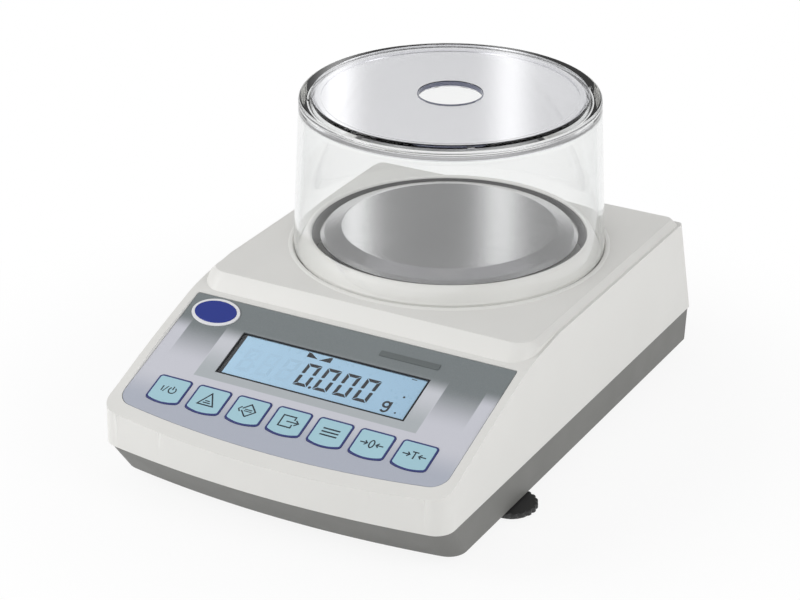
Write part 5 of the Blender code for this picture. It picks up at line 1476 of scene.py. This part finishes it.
def studio_world():
    """White behind the object, a studio for reflections, and a soft sky that is dimmer overhead."""
    world = bpy.data.worlds.new("studio")
    bpy.context.scene.world = world
    world.use_nodes = True
    graph = Graph(world.node_tree)
    graph.tree.nodes.clear()
    height = graph.parts(graph.node("ShaderNodeTexCoord").outputs["Generated"])["Z"]
    path = graph.node("ShaderNodeLightPath").outputs

    def background(stops):
        ramp = graph.node("ShaderNodeValToRGB")
        elements = ramp.color_ramp.elements
        elements.remove(elements[1])
        for i, (z, level) in enumerate(stops):
            stop = elements.new((z + 1) * HALF) if i else elements[0]
            stop.position = (z + 1) * HALF
            stop.color = (level, level, level, 1)
        graph.link(graph.math("MULTIPLY_ADD", height, HALF, HALF), ramp.inputs["Fac"])
        return graph.fed("ShaderNodeBackground", ramp.outputs["Color"])

    passed = graph.blend(path["Is Transmission Ray"], background(SKY), background(THROUGH))
    bounced = graph.math("GREATER_THAN", path["Glossy Depth"], HALF)
    either = graph.math("ADD", path["Is Glossy Ray"], path["Is Transmission Ray"])
    passed = graph.blend(graph.math("MULTIPLY", bounced, either, clamp=True), passed, background(MIRRORED))
    output = graph.node("ShaderNodeOutputWorld")
    graph.link(graph.blend(path["Is Camera Ray"], passed, background(WHITE)), output.inputs["Surface"])


def in_scene(name, data):
    """A new object in the scene."""
    made = bpy.data.objects.new(name, data)
    bpy.context.scene.collection.objects.link(made)
    return made


def floor_piece():
    """A pale floor that is white to the camera away from the object and keeps its shadow."""
    look = Look("floor_pale", FLOOR_TONE, FLOOR_ROUGHNESS)
    squares = [look.math("POWER", part, 2) for part in look.parts(look.place)[:2]]
    far = look.math("SQRT", look.math("ADD", *squares))
    away = look.mapped(far, (FLOOR_NEAR, FLOOR_FAR), (FLOOR_LIFT, 1.0), True)
    path = look.node("ShaderNodeLightPath").outputs
    seen = look.math("MAXIMUM", path["Is Camera Ray"],
                     look.math("MAXIMUM", path["Is Glossy Ray"], path["Is Transmission Ray"]))
    glow = look.fed("ShaderNodeEmission")
    look.surface(look.blend(look.math("MULTIPLY", away, seen), look.shader.outputs["BSDF"], glow))
    look.mottle(*FLOOR_MOTTLE)
    body = bmesh.new()
    bmesh.ops.create_grid(body, x_segments=FLOOR_CELLS, y_segments=FLOOR_CELLS, size=FLOOR_HALF)
    mesh = as_mesh(body, "floor")
    mesh.materials.append(look.material)
    floor = in_scene("floor", mesh)


def lamp(name, place, energy):
    """A soft rectangular lamp that the camera and the glass don't show."""
    data = bpy.data.lights.new(name, "AREA")
    data.shape = "RECTANGLE"
    data.size, data.size_y = LAMP_SIZE
    data.energy = energy
    holder = in_scene(name, data)
    holder.location = place
    holder.rotation_euler = (Vector(LAMP_AIM) - Vector(place)).to_track_quat("-Z", "Y").to_euler()
    holder.visible_camera = False
    holder.visible_transmission = False


def soft_box():
    """A wide box behind the pan that only the gloss shows, with two brighter bands."""
    look = Look("soft_box", FLOOR_TONE, FLOOR_ROUGHNESS)
    parts = look.parts(look.place)
    level = 0.0
    for place, width, strength in BOX_BANDS:
        off = look.math("DIVIDE", look.math("SUBTRACT", parts[0], place), width)
        swell = look.math("EXPONENT", look.math("MULTIPLY", look.math("POWER", off, 2), -1.0))
        level = look.math("ADD", level, look.math("MULTIPLY", swell, strength))
    soft = look.math("MULTIPLY", *(
        look.mapped(look.math("ABSOLUTE", parts[i]), (half - BOX_FADE, half), FALLING, True)
        for i, half in enumerate((BOX_HALF_WIDTH, BOX_HALF_HEIGHT))))
    path = look.node("ShaderNodeLightPath").outputs
    bounced = look.math("GREATER_THAN", path["Glossy Depth"], HALF)
    glow = look.node("ShaderNodeEmission")
    look.link(look.math("MULTIPLY", look.math("MULTIPLY", level, soft), bounced), glow.inputs["Strength"])
    look.surface(look.fed("ShaderNodeAddShader", glow.outputs[0], look.fed("ShaderNodeBsdfTransparent")))
    body = bmesh.new()
    corners = rectangle(-BOX_HALF_WIDTH, BOX_HALF_WIDTH, -BOX_HALF_HEIGHT, BOX_HALF_HEIGHT)
    body.faces.new([body.verts.new((x, y, 0)) for x, y in corners])
    mesh = as_mesh(body, "soft_box")
    mesh.materials.append(look.material)
    card = in_scene("soft_box", mesh)
    back = Vector(BOX_DIRECTION).normalized()
    across = Vector((back.y, -back.x, 0)).normalized()
    rise = back.cross(across)
    turn = Matrix((across, rise, across.cross(rise))).transposed().to_4x4()
    place = Vector((*AXIS, PAN_TOP_Z)) + back * BOX_DISTANCE
    card.matrix_world = Matrix.Translation(place) @ turn
    for way in ("camera", "diffuse", "shadow", "volume_scatter"):
        setattr(card, f"visible_{way}", False)


def camera():
    """The view of the photograph."""
    data = bpy.data.cameras.new("view")
    data.sensor_width = CAMERA_SENSOR
    data.lens = CAMERA_LENS
    data.clip_start = CAMERA_NEAREST
    holder = in_scene("view", data)
    holder.location = CAMERA_PLACE
    holder.rotation_euler = [math.radians(degrees) for degrees in CAMERA_TURN]
    bpy.context.scene.camera = holder


studio_world()
floor_piece()
for lamp_name, lamp_place, lamp_energy in LAMPS:
    lamp(lamp_name, lamp_place, lamp_energy)
soft_box()
camera()
bpy.context.scene.view_settings.view_transform = "Standard"
